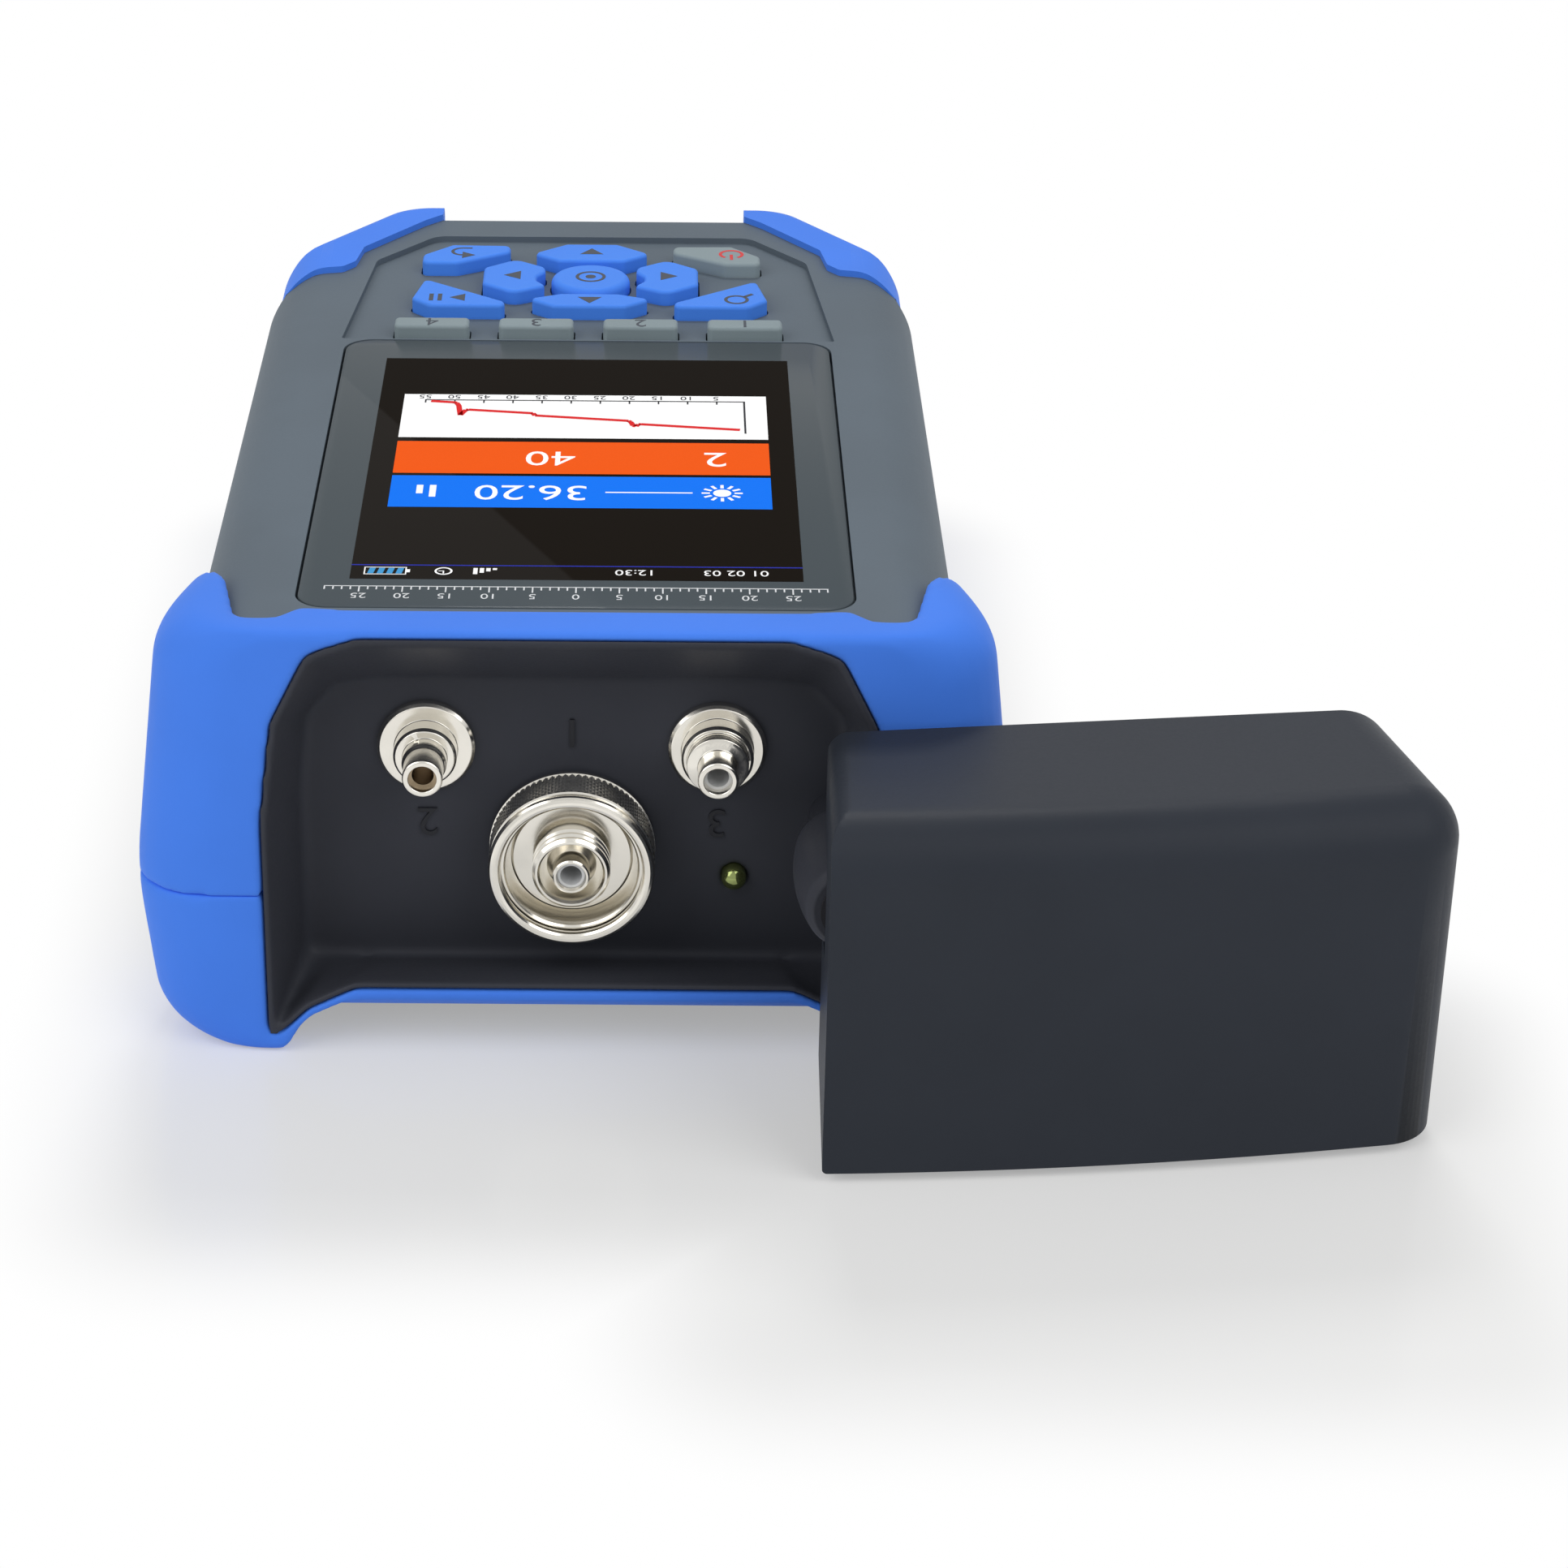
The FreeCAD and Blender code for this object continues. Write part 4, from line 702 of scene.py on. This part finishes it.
@dataclass
class Screen:
    """The window, its printed border and a generic picture on the display.

    All sizes are in mm, and the picture's origin is the middle of the pane's port-end edge.
    """

    border: float = 5.7
    border_far: float = 6.8
    border_near: float = 7.7
    corner: float = 3.6
    edge: float = 0.3
    layer: float = 0.02
    thickness: float = 0.015
    panel_half: float = 23.2
    scale_half: int = 29
    scale_foot: float = -5.6
    chart_low: Point = (-20.5, -63.4)
    chart_high: Point = (20.5, -52.6)
    chart_marks: int = 11
    trace_start: float = 9.6
    trace_fall: float = 5.2
    trace_steps: int = 120
    events: tuple[Event, ...] = (Event(0.34, 0.9, 1.6, 0.008), Event(0.66, 0.7),
                                 Event(0.90, 2.2, 2.0))
    digits: float = 4.4
    small_digits: float = 1.5
    top: float = field(init=False, default=0.0)
    near: float = field(init=False, default=0.0)

    def build(self) -> None:
        """Build the window and what the display shows."""
        low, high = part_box("display_window")
        bm = plate(low, high, self.corner, self.edge)
        Piece("window_pane", Finish.BORDER, INSTRUMENT, ("display_window",),
              "window_glass").from_bmesh(bm)
        self.top, self.near = high.z, low.y
        size = (high - low) / MM
        half = size.x / 2 - self.border
        dark = self.sheet(0)
        dark.bar(-half, half, self.border_far - size.y, -self.border_near)
        dark.piece("display_face", Finish.SCREEN)
        self.panel("panel_chart", Finish.SCREEN_WHITE, 50.7, 65.2)
        self.panel("panel_orange", Finish.SCREEN_ORANGE, 39.2, 49.4)
        self.panel("panel_blue", Finish.SCREEN_BLUE, 28.7, 38.4)
        self.status_row(half)
        self.chart()
        self.readouts()
        self.scale()

    def sheet(self, level: int) -> Sheet:
        """Drawing on the pane, as many layers up as its level says."""
        height = self.top + self.layer * (0.5 + level) * MM
        return Sheet(Vector((0, self.near, height)), thickness=self.thickness * MM)

    def scale(self) -> None:
        """Print a plain scale on the border at the port end."""
        print_sheet = self.sheet(0)
        half, foot, stroke = self.scale_half, self.scale_foot, 0.09
        for i in range(-half, half + 1):
            tall = 1.5 if i % 5 == 0 else 0.85
            print_sheet.bar(i - stroke, i + stroke, foot, foot + tall)
        print_sheet.bar(-half - stroke, half + stroke, foot - 0.15, foot + 0.03)
        for i in range(-(half // 5), half // 5 + 1):
            print_sheet.number(str(abs(i) * 5), 1.35, (i * 5.0, foot + 2.5))
        print_sheet.piece("border_scale", Finish.PRINT)

    def panel(self, name: str, finish: Finish, near: float, far: float) -> None:
        """Add one coloured panel between two distances from the pane's port-end edge."""
        drawing = self.sheet(1)
        drawing.bar(-self.panel_half, self.panel_half, -far, -near)
        drawing.piece(name, finish)

    def status_row(self, half: float) -> None:
        """Draw a line, a battery, a dial, level bars and plain digits along the port end.

        Args:
            half: Half the display's width in mm.
        """
        line = self.sheet(1)
        line.bar(-half, half, -11.7, -11.45)
        line.piece("status_line", Finish.SCREEN_LINE)
        cells = self.sheet(2)
        for i in range(4):
            start = 20.1 + i * 1.1
            cells.polygon([(start, -10.7), (start + 0.7, -10.7), (start + 0.95, -9.1),
                           (start + 0.25, -9.1)])
        cells.piece("status_cells", Finish.SCREEN_CELL)
        marks = self.sheet(2)
        middle, dial, stroke = -9.9, 15.5, 0.15
        low, high, left, right = -10.95, -8.85, 19.8, 24.75
        marks.bar(left + 0.1, right - 0.05, low, low + stroke)
        marks.bar(left + 0.1, right - 0.05, high - stroke, high)
        marks.bar(left, left + stroke, low, high)
        marks.bar(right - stroke, right, low, high)
        marks.bar(left - 0.4, left, middle - 0.4, middle + 0.4)
        marks.arc((dial, middle), 0.8, 1.05)
        marks.bar(dial - 0.08, dial + 0.08, middle - 0.1, middle + 0.7)
        marks.bar(dial, dial + 0.6, middle - 0.1, middle + 0.05)
        for i in range(4):
            marks.bar(9.3 + i * 0.75, 9.8 + i * 0.75, -10.8, -10.3 + i * 0.4)
        marks.number("12:30", self.small_digits, (-6.8, middle))
        marks.number("01 02 03", self.small_digits, (-18.5, middle))
        marks.piece("status_marks", Finish.SCREEN_WHITE)

    def chart(self) -> None:
        """Draw a made-up falling trace with a scale on the white panel."""
        axis = self.sheet(2)
        (left, low), (right, high) = self.chart_low, self.chart_high
        axis.bar(left, right, low, low + 0.28)
        axis.bar(left, left + 0.25, low, high)
        for i in range(1, self.chart_marks + 1):
            x = left + (right - left) * i / self.chart_marks
            axis.bar(x - 0.2, x, low, low + 1.1)
            axis.number(str(i * 5), 1.2, (x, low - 1.0))
        axis.piece("chart_axes", Finish.SCREEN_INK)
        margin = 0.8
        points = []
        for i in range(self.trace_steps + 1):
            share = i / self.trace_steps
            level = self.trace_start - self.trace_fall * share
            for event in self.events:
                level -= event.drop * (share > event.place)
                level += event.peak * math.exp(-((share - event.place) / event.spread) ** 2)
            points.append((left + margin + (right - left - 2 * margin) * share, low + level))
        trace = self.sheet(3)
        trace.ribbon(points, 0.7)
        trace.piece("chart_trace", Finish.SCREEN_RED)

    def readouts(self) -> None:
        """Draw plain digits and simple signs on the two coloured panels."""
        signs = self.sheet(2)
        orange, blue, sun, rays = -44.3, -33.5, -17.2, 12
        signs.number("2", self.digits, (-16.5, orange))
        signs.number("40", self.digits, (4.0, orange))
        for i in range(rays):
            turn = math.tau * i / rays
            signs.ribbon([(sun + radius * math.cos(turn), blue + radius * math.sin(turn))
                          for radius in (1.5, 2.5)], 0.4)
        signs.disc((sun, blue), 1.1)
        signs.bar(-13.6, -3.0, blue - 0.15, blue + 0.15)
        signs.number("36.20", self.digits, (6.0, blue))
        signs.bar(17.6, 18.4, -35.4, -31.8)
        signs.bar(19.2, 20.0, -35.4, -32.8)
        signs.piece("panel_signs", Finish.SCREEN_WHITE)


class Sign(Enum):
    """What is printed on a key."""

    ARROW_AWAY = "away"
    ARROW_NEAR = "near"
    ARROW_PLUS_X = "plus_x"
    ARROW_MINUS_X = "minus_x"
    POWER = "power"
    LENS = "lens"
    BACK = "back"
    PLAY = "play"
    RING = "ring"
    DIGIT = "digit"


@dataclass
class Keypad:
    """The thirteen keys with their printed signs."""

    signs: dict[str, Sign] = field(default_factory=lambda: {
        "key_up": Sign.ARROW_NEAR, "key_down": Sign.ARROW_AWAY, "key_left": Sign.ARROW_PLUS_X,
        "key_right": Sign.ARROW_MINUS_X, "key_ok": Sign.RING, "key_back": Sign.BACK,
        "key_power": Sign.POWER, "key_play": Sign.PLAY, "key_zoom": Sign.LENS,
        "key_1": Sign.DIGIT, "key_2": Sign.DIGIT, "key_3": Sign.DIGIT, "key_4": Sign.DIGIT})
    grey: tuple[str, ...] = ("key_power", "key_1", "key_2", "key_3", "key_4")
    middles: dict[str, Point] = field(default_factory=lambda: {
        "key_play": (-19.4, 34.8), "key_zoom": (20.2, 34.9), "key_power": (19.5, 52.7),
        "key_back": (-18.05, 52.8)})
    sign_scale: float = 1.3
    sign_gap: float = 0.003
    sign_thickness: float = 0.02

    def build(self) -> None:
        """Dress the keys and print their signs."""
        for node, sign in self.signs.items():
            finish = Finish.KEY_GREY if node in self.grey else Finish.KEY_BLUE
            slot = "key_grey" if node in self.grey else "key_blue"
            skin(node, finish, node, slot=slot)
            self.print_sign(node, sign)

    def print_sign(self, node: str, sign: Sign) -> None:
        """Print one sign on the middle of a key's top."""
        low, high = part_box(node)
        middle = (low + high) / 2
        across, along = self.middles.get(node, (middle.x / MM, middle.y / MM))
        sheet = Sheet(Vector((across * MM, along * MM, high.z + self.sign_gap * MM)),
                      thickness=self.sign_thickness * MM, scale=self.sign_scale)
        finish = Finish.INK_DARK
        if sign is Sign.DIGIT:
            sheet.number(node[-1], 1.9)
        elif sign is Sign.POWER:
            finish = Finish.INK_RED
            sheet.arc((0.0, 0.0), 1.0, 1.35, 125, 415)
            sheet.bar(-0.17, 0.17, 0.1, 1.7)
        elif sign is Sign.LENS:
            sheet.arc((0.2, 0.2), 0.95, 1.3)
            sheet.ribbon([(-0.65, -0.65), (-1.5, -1.5)], 0.45)
        elif sign is Sign.BACK:
            sheet.arc((0.0, -0.25), 0.9, 1.25, -90, 90)
            sheet.bar(-1.0, 0.0, -1.5, -1.15)
            sheet.polygon([(0.0, -0.15), (0.0, 1.85), (-1.4, 0.85)])
        elif sign is Sign.PLAY:
            sheet.polygon([(-1.9, 1.05), (-1.9, -1.05), (-0.3, 0.0)])
            sheet.bar(0.5, 0.95, -1.0, 1.0)
            sheet.bar(1.4, 1.85, -1.0, 1.0)
        elif sign is Sign.RING:
            sheet.arc((0.0, 0.0), 1.25, 1.6)
            sheet.disc((0.0, 0.0), 0.55)
        else:
            turn = {Sign.ARROW_NEAR: 90, Sign.ARROW_AWAY: -90, Sign.ARROW_PLUS_X: 180,
                    Sign.ARROW_MINUS_X: 0}[sign]
            angle = math.radians(turn)
            points = [(1.1, 0.0), (-0.7, 1.25), (-0.7, -1.25)]
            sheet.polygon([(a * math.cos(angle) - b * math.sin(angle),
                            a * math.sin(angle) + b * math.cos(angle)) for a, b in points])
        sheet.piece(node + "_sign", finish, node)


@dataclass
class Ports:
    """The port bay with its three ports and the lamp, sizes in mm.

    The panel's face is panel_front in front of the main port's nut.
    """

    sleeves: tuple[str, ...] = ("main_port_sleeve", "meter_port_sleeve", "locator_port_sleeve")
    collar_radius: float = 9.75
    collar_bore: float = 7.75
    collar_hub: float = 6.05
    collar_web: float = 1.6
    lip_radius: float = 8.55
    lip_depth: float = 1.3
    groove_radius: float = 9.42
    back_groove: float = 0.3
    bead: float = 0.75
    band_start: float = 2.1
    band_end: float = 6.1
    knurls: int = 76
    knurl_rows: int = 10
    knurl_depth: float = 0.24
    barrel_radius: float = 4.55
    barrel_bore: float = 3.7
    barrel_behind: float = 0.8
    nose_radius: float = 2.15
    nose_bore: float = 1.62
    threads: int = 3
    pitch: float = 1.15
    thread_depth: float = 0.45
    side_port_edge: float = 0.08
    number_height: float = 3.6
    number_relief: float = 0.3
    number_places: tuple[Point, ...] = ((-0.4, 37.6), (-17.4, 25.9), (16.5, 25.9))
    panel_front: float = 2.4

    def build(self) -> None:
        """Dress the bay and its ports, and raise a plain number beside each port."""
        soften("port_frame", Finish.TRAY, INSTRUMENT, slot="black_moulding")
        self.barrel()
        skin("main_port_body", Finish.NICKEL, INSTRUMENT, slot="nickel")
        for node in ("meter_port", "locator_port"):
            skin(node, Finish.NICKEL, INSTRUMENT, edge=self.side_port_edge, slot="nickel")
        for node in ("main_port_nut", "side_port_nuts"):
            skin(node, Finish.STEEL, INSTRUMENT, slot="nickel")
        for node in self.sleeves:
            finish = Finish.BRONZE if node.startswith("meter") else Finish.SLEEVE
            skin(node, finish, INSTRUMENT, slot="ceramic")
        skin("indicator_lamp", Finish.LAMP, INSTRUMENT, slot="lamp_green")
        self.collar()
        self.numbers()

    def barrel(self) -> None:
        """Turn the threaded barrel that the collar surrounds."""
        low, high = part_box("main_port_barrel")
        centre = Vector(((low.x + high.x) / 2, low.y, (low.z + high.z) / 2))
        length = (high.y - low.y) / MM
        bore, outer, front = self.barrel_bore, self.barrel_radius, self.barrel_behind
        points = [(bore, length), (bore, front + 0.35), (bore + 0.25, front), (outer - 0.35, front)]
        for i in range(self.threads):
            along = front + 0.35 + i * self.pitch
            points += [(outer, along), (outer, along + 0.3 * self.pitch),
                       (outer - self.thread_depth, along + 0.6 * self.pitch),
                       (outer - self.thread_depth, along + 0.75 * self.pitch)]
        points.append((outer - self.thread_depth, length))
        Piece("barrel_turned", Finish.NICKEL, INSTRUMENT, ("main_port_barrel",),
              "nickel").from_bmesh(turned(points, centre), 25.0)
        hole, nose = self.nose_bore, self.nose_radius
        points = [(hole, length), (hole, 0.25), (hole + 0.15, 0.0), (nose - 0.15, 0.0),
                  (nose, 0.15), (nose, 2.5), (nose + 0.75, 3.1), (nose + 0.75, length)]
        Piece("nose_turned", Finish.NICKEL, INSTRUMENT).from_bmesh(turned(points, centre), 25.0)

    def profile(self, length: float) -> list[Point]:
        """Outline of the collar's section, from its bore round its front bead to its back."""
        outer, bead, bore, hub = self.collar_radius, self.bead, self.collar_bore, self.collar_hub
        lip, depth, groove, back = (self.lip_radius, self.lip_depth, self.groove_radius,
                                    outer - self.back_groove)
        start, end, web = self.band_start, self.band_end, length - self.collar_web
        points = [(bore, web), (bore, depth + 0.2), (bore + 0.2, depth), (lip - 0.1, depth),
                  (lip, depth - 0.1), (lip, bead)]
        for i in range(9):
            turn = math.radians(200 - i * 25)
            points.append((outer - bead + bead * math.cos(turn), bead - bead * math.sin(turn)))
        points += [(groove, 2 * bead), (groove, start - 0.2), (outer - 0.12, start - 0.1)]
        step = (end - start) / self.knurl_rows
        points += [(outer, start + i * step) for i in range(self.knurl_rows + 1)]
        points += [(back, end + 0.1), (back, end + 0.25), (outer, end + 0.35),
                   (outer, length - self.back_groove), (back, length), (hub, length), (hub, web)]
        return points

    def collar(self) -> None:
        """Turn the collar and cut a diamond knurl round its band."""
        low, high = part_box("main_port_collar")
        centre = Vector(((low.x + high.x) / 2, low.y, (low.z + high.z) / 2))
        steps = self.knurls * 2
        bm = turned(self.profile((high.y - low.y) / MM), centre, steps)
        step = (self.band_end - self.band_start) / self.knurl_rows
        sunk = []
        for corner in bm.verts:
            out = Vector((corner.co.x - centre.x, 0.0, corner.co.z - centre.z))
            row = ((corner.co.y - centre.y) / MM - self.band_start) / step
            on_band = -0.5 < row < self.knurl_rows + 0.5
            if abs(out.length / MM - self.collar_radius) > 0.01 or not on_band:
                continue
            turn = round(math.atan2(out.z, out.x) / math.tau * steps)
            if (turn + round(row)) % 2:
                corner.co -= out.normalized() * self.knurl_depth * MM
                sunk.append(corner)
        bmesh.ops.connect_verts(bm, verts=sunk)
        made = Piece("collar_turned", Finish.NICKEL, "main_port_collar", ("main_port_collar",),
                     "nickel").from_bmesh(bm, 22.0)
        made.data.materials.append(Finish.KNURL.material())
        for polygon in made.data.polygons:
            along = (polygon.center.y - centre.y) / MM
            out = Vector((polygon.center.x - centre.x, polygon.center.z - centre.z)).length / MM
            if self.band_start < along < self.band_end and out > self.collar_radius - 0.5:
                polygon.material_index = 1

    def numbers(self) -> None:
        """Raise a plain number on the panel beside each port."""
        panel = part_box("main_port_nut")[0].y - self.panel_front * MM
        for number, (x, z) in enumerate(self.number_places, start=1):
            sheet = Sheet(Vector((x * MM, panel, z * MM)), upright=True,
                          thickness=self.number_relief * MM)
            sheet.number(str(number), self.number_height)
            sheet.piece(f"panel_number_{number}", Finish.MARK)


@dataclass
class Cover:
    """The swivelling port cover and its pivot."""

    sharp_angle: float = 25.0

    def build(self) -> None:
        """Dress the cover, its boss and the pin."""
        skin("port_cover", Finish.COVER, "port_cover", angle=self.sharp_angle,
             slot="cover_plastic")
        skin("cover_boss", Finish.TRAY, INSTRUMENT, slot="cover_plastic")
        dress(("cover_pin",), Finish.PIN)
        dress(("cover_washer",), Finish.NYLON)


@dataclass
class Insides:
    """Everything that the case hides."""

    def build(self) -> None:
        """Dress the hidden nodes."""
        dress(("display_gasket", "display_module", "buzzer", "battery_connector"), Finish.BLACK)
        dress(("display_frame", "display_screws", "keypad_screws", "processor_shield"),
              Finish.STEEL)
        dress(("keypad_mat",), Finish.SILICONE)
        dress(("keypad_board", "main_board"), Finish.BOARD)
        dress(("optical_module",), Finish.HOUSING)
        dress(("fibre_coil", "fibre_pigtails"), Finish.FIBRE)
        dress(("battery_pack",), Finish.WRAP)


# Stage

@dataclass(frozen=True)
class Lamp:
    """Square lamp: its place and size in metres, its power in watts."""

    name: str
    place: Place
    size: float
    power: float


@dataclass
class Studio:
    """Camera, floor and light.

    A zone is the middle and half width, in mm, of the floor that a part stands over, first along
    X and then along Y. The floor turns white between two distances from the zones.
    """

    eye: Vector = field(default_factory=lambda: Vector((8.65, -474.7, 244.0)) * MM)
    pitch: float = 27.3
    roll: float = 0.43
    focal_pixels: float = 4893.0
    picture_pixels: float = 1932.0
    axis_pixel: float = 800.5
    sensor: float = 36.0
    lamps: tuple[Lamp, ...] = (Lamp("key", (-0.75, -0.50, 0.75), 0.9, 4.4),
                               Lamp("fill", (0.70, -0.65, 0.85), 0.9, 4.6),
                               Lamp("back", (0.05, 0.52, 0.88), 0.25, 2.3))
    aim: Place = (0.02, 0.0, 0.03)
    world_light: float = 0.45
    floor_radius: float = 1.6
    floor_colour: Colour = (0.90, 0.90, 0.89)
    floor_white: float = 0.35
    fade: Point = (2.0, 27.0)
    zones: tuple[tuple[Point, Point], ...] = (((0.0, 42.0), (-14.5, 89.5)),
                                              ((60.0, 36.0), (-98.0, 32.0)))

    def build(self) -> None:
        """Set up the camera, the floor, the world and the lamps."""
        self.camera()
        self.floor()
        self.world()
        for lamp in self.lamps:
            self.light(lamp)
        bpy.context.scene.view_settings.view_transform = "Standard"

    def camera(self) -> None:
        """Put the camera where the photograph was taken from."""
        pitch = math.radians(self.pitch)
        roll = math.radians(self.roll)
        forward = Vector((0, math.cos(pitch), -math.sin(pitch)))
        upward = Vector((0, math.sin(pitch), math.cos(pitch)))
        sideways = Vector((1, 0, 0))
        right = sideways * math.cos(roll) + upward * math.sin(roll)
        up = upward * math.cos(roll) - sideways * math.sin(roll)
        data = bpy.data.cameras.new("camera")
        data.sensor_width = self.sensor
        data.lens = self.focal_pixels * self.sensor / self.picture_pixels
        data.shift_x = (self.picture_pixels / 2 - self.axis_pixel) / self.picture_pixels
        camera = bpy.data.objects.new("camera", data)
        bpy.context.scene.collection.objects.link(camera)
        turn = Matrix((right, up, -forward)).transposed().to_4x4()
        camera.matrix_world = Matrix.Translation(self.eye) @ turn
        bpy.context.scene.camera = camera

    def floor(self) -> None:
        """Pale floor that fades into the white background."""
        bm = bmesh.new()
        bmesh.ops.create_circle(bm, cap_ends=True, segments=96, radius=self.floor_radius)
        mesh = bpy.data.meshes.new("floor")
        bm.to_mesh(mesh)
        bm.free()
        floor = bpy.data.objects.new("floor", mesh)
        bpy.context.scene.collection.objects.link(floor)
        graph = Graph.of_material("floor_pale")
        place = graph.axes()
        distance = self.outside(place, self.zones[0]).least(self.outside(place, self.zones[1]))
        near, far = self.fade
        pale = graph.node("ShaderNodeBsdfPrincipled", None,
                          {"Base Color": (*self.floor_colour, 1.0), "Roughness": 0.22,
                           "Specular IOR Level": 0.35})
        white = graph.node("ShaderNodeEmission", None, {"Color": (1, 1, 1, 1), "Strength": 1.0})
        share = distance.step(near * MM, far * MM) * (1.0 - self.floor_white) + self.floor_white
        graph.end(graph.node("ShaderNodeMixShader", None,
                             {0: share * graph.seen(), 1: pale, 2: white}))
        mesh.materials.append(graph.owner)

    @staticmethod
    def outside(place: tuple[Signal, Signal], zone: tuple[Point, Point]) -> Signal:
        """Distance outside a zone, in metres."""
        across, along = (((part - middle * MM).size() - half * MM).most(0.0)
                         for part, (middle, half) in zip(place, zone))
        return (across * across + along * along) ** 0.5

    def world(self) -> None:
        """White surroundings that light the object softly and are seen as plain white."""
        world = bpy.data.worlds.new("studio")
        bpy.context.scene.world = world
        graph = Graph(world)
        strength = graph.node("ShaderNodeMapRange", None,
                              {"Value": graph.seen(), "To Min": self.world_light, "To Max": 1.0})
        background = graph.node("ShaderNodeBackground", None, {"Strength": strength})
        graph.end(background, "ShaderNodeOutputWorld")

    def light(self, lamp: Lamp) -> None:
        """Hang one soft lamp that points at the middle of the object."""
        data = bpy.data.lights.new(lamp.name, "AREA")
        data.size = lamp.size
        data.energy = lamp.power
        made = bpy.data.objects.new(lamp.name, data)
        bpy.context.scene.collection.objects.link(made)
        turn = (Vector(self.aim) - Vector(lamp.place)).to_track_quat("-Z", "Y")
        made.matrix_world = Matrix.Translation(lamp.place) @ turn.to_matrix().to_4x4()


def main() -> None:
    """Build the scene and note its size."""
    logging.basicConfig(level=logging.INFO)
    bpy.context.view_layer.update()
    for part in (Studio(), Case(), Screen(), Keypad(), Ports(), Cover(), Insides()):
        part.build()
        LOG.info("%s built", type(part).__name__)


if __name__ == "__main__":
    main()
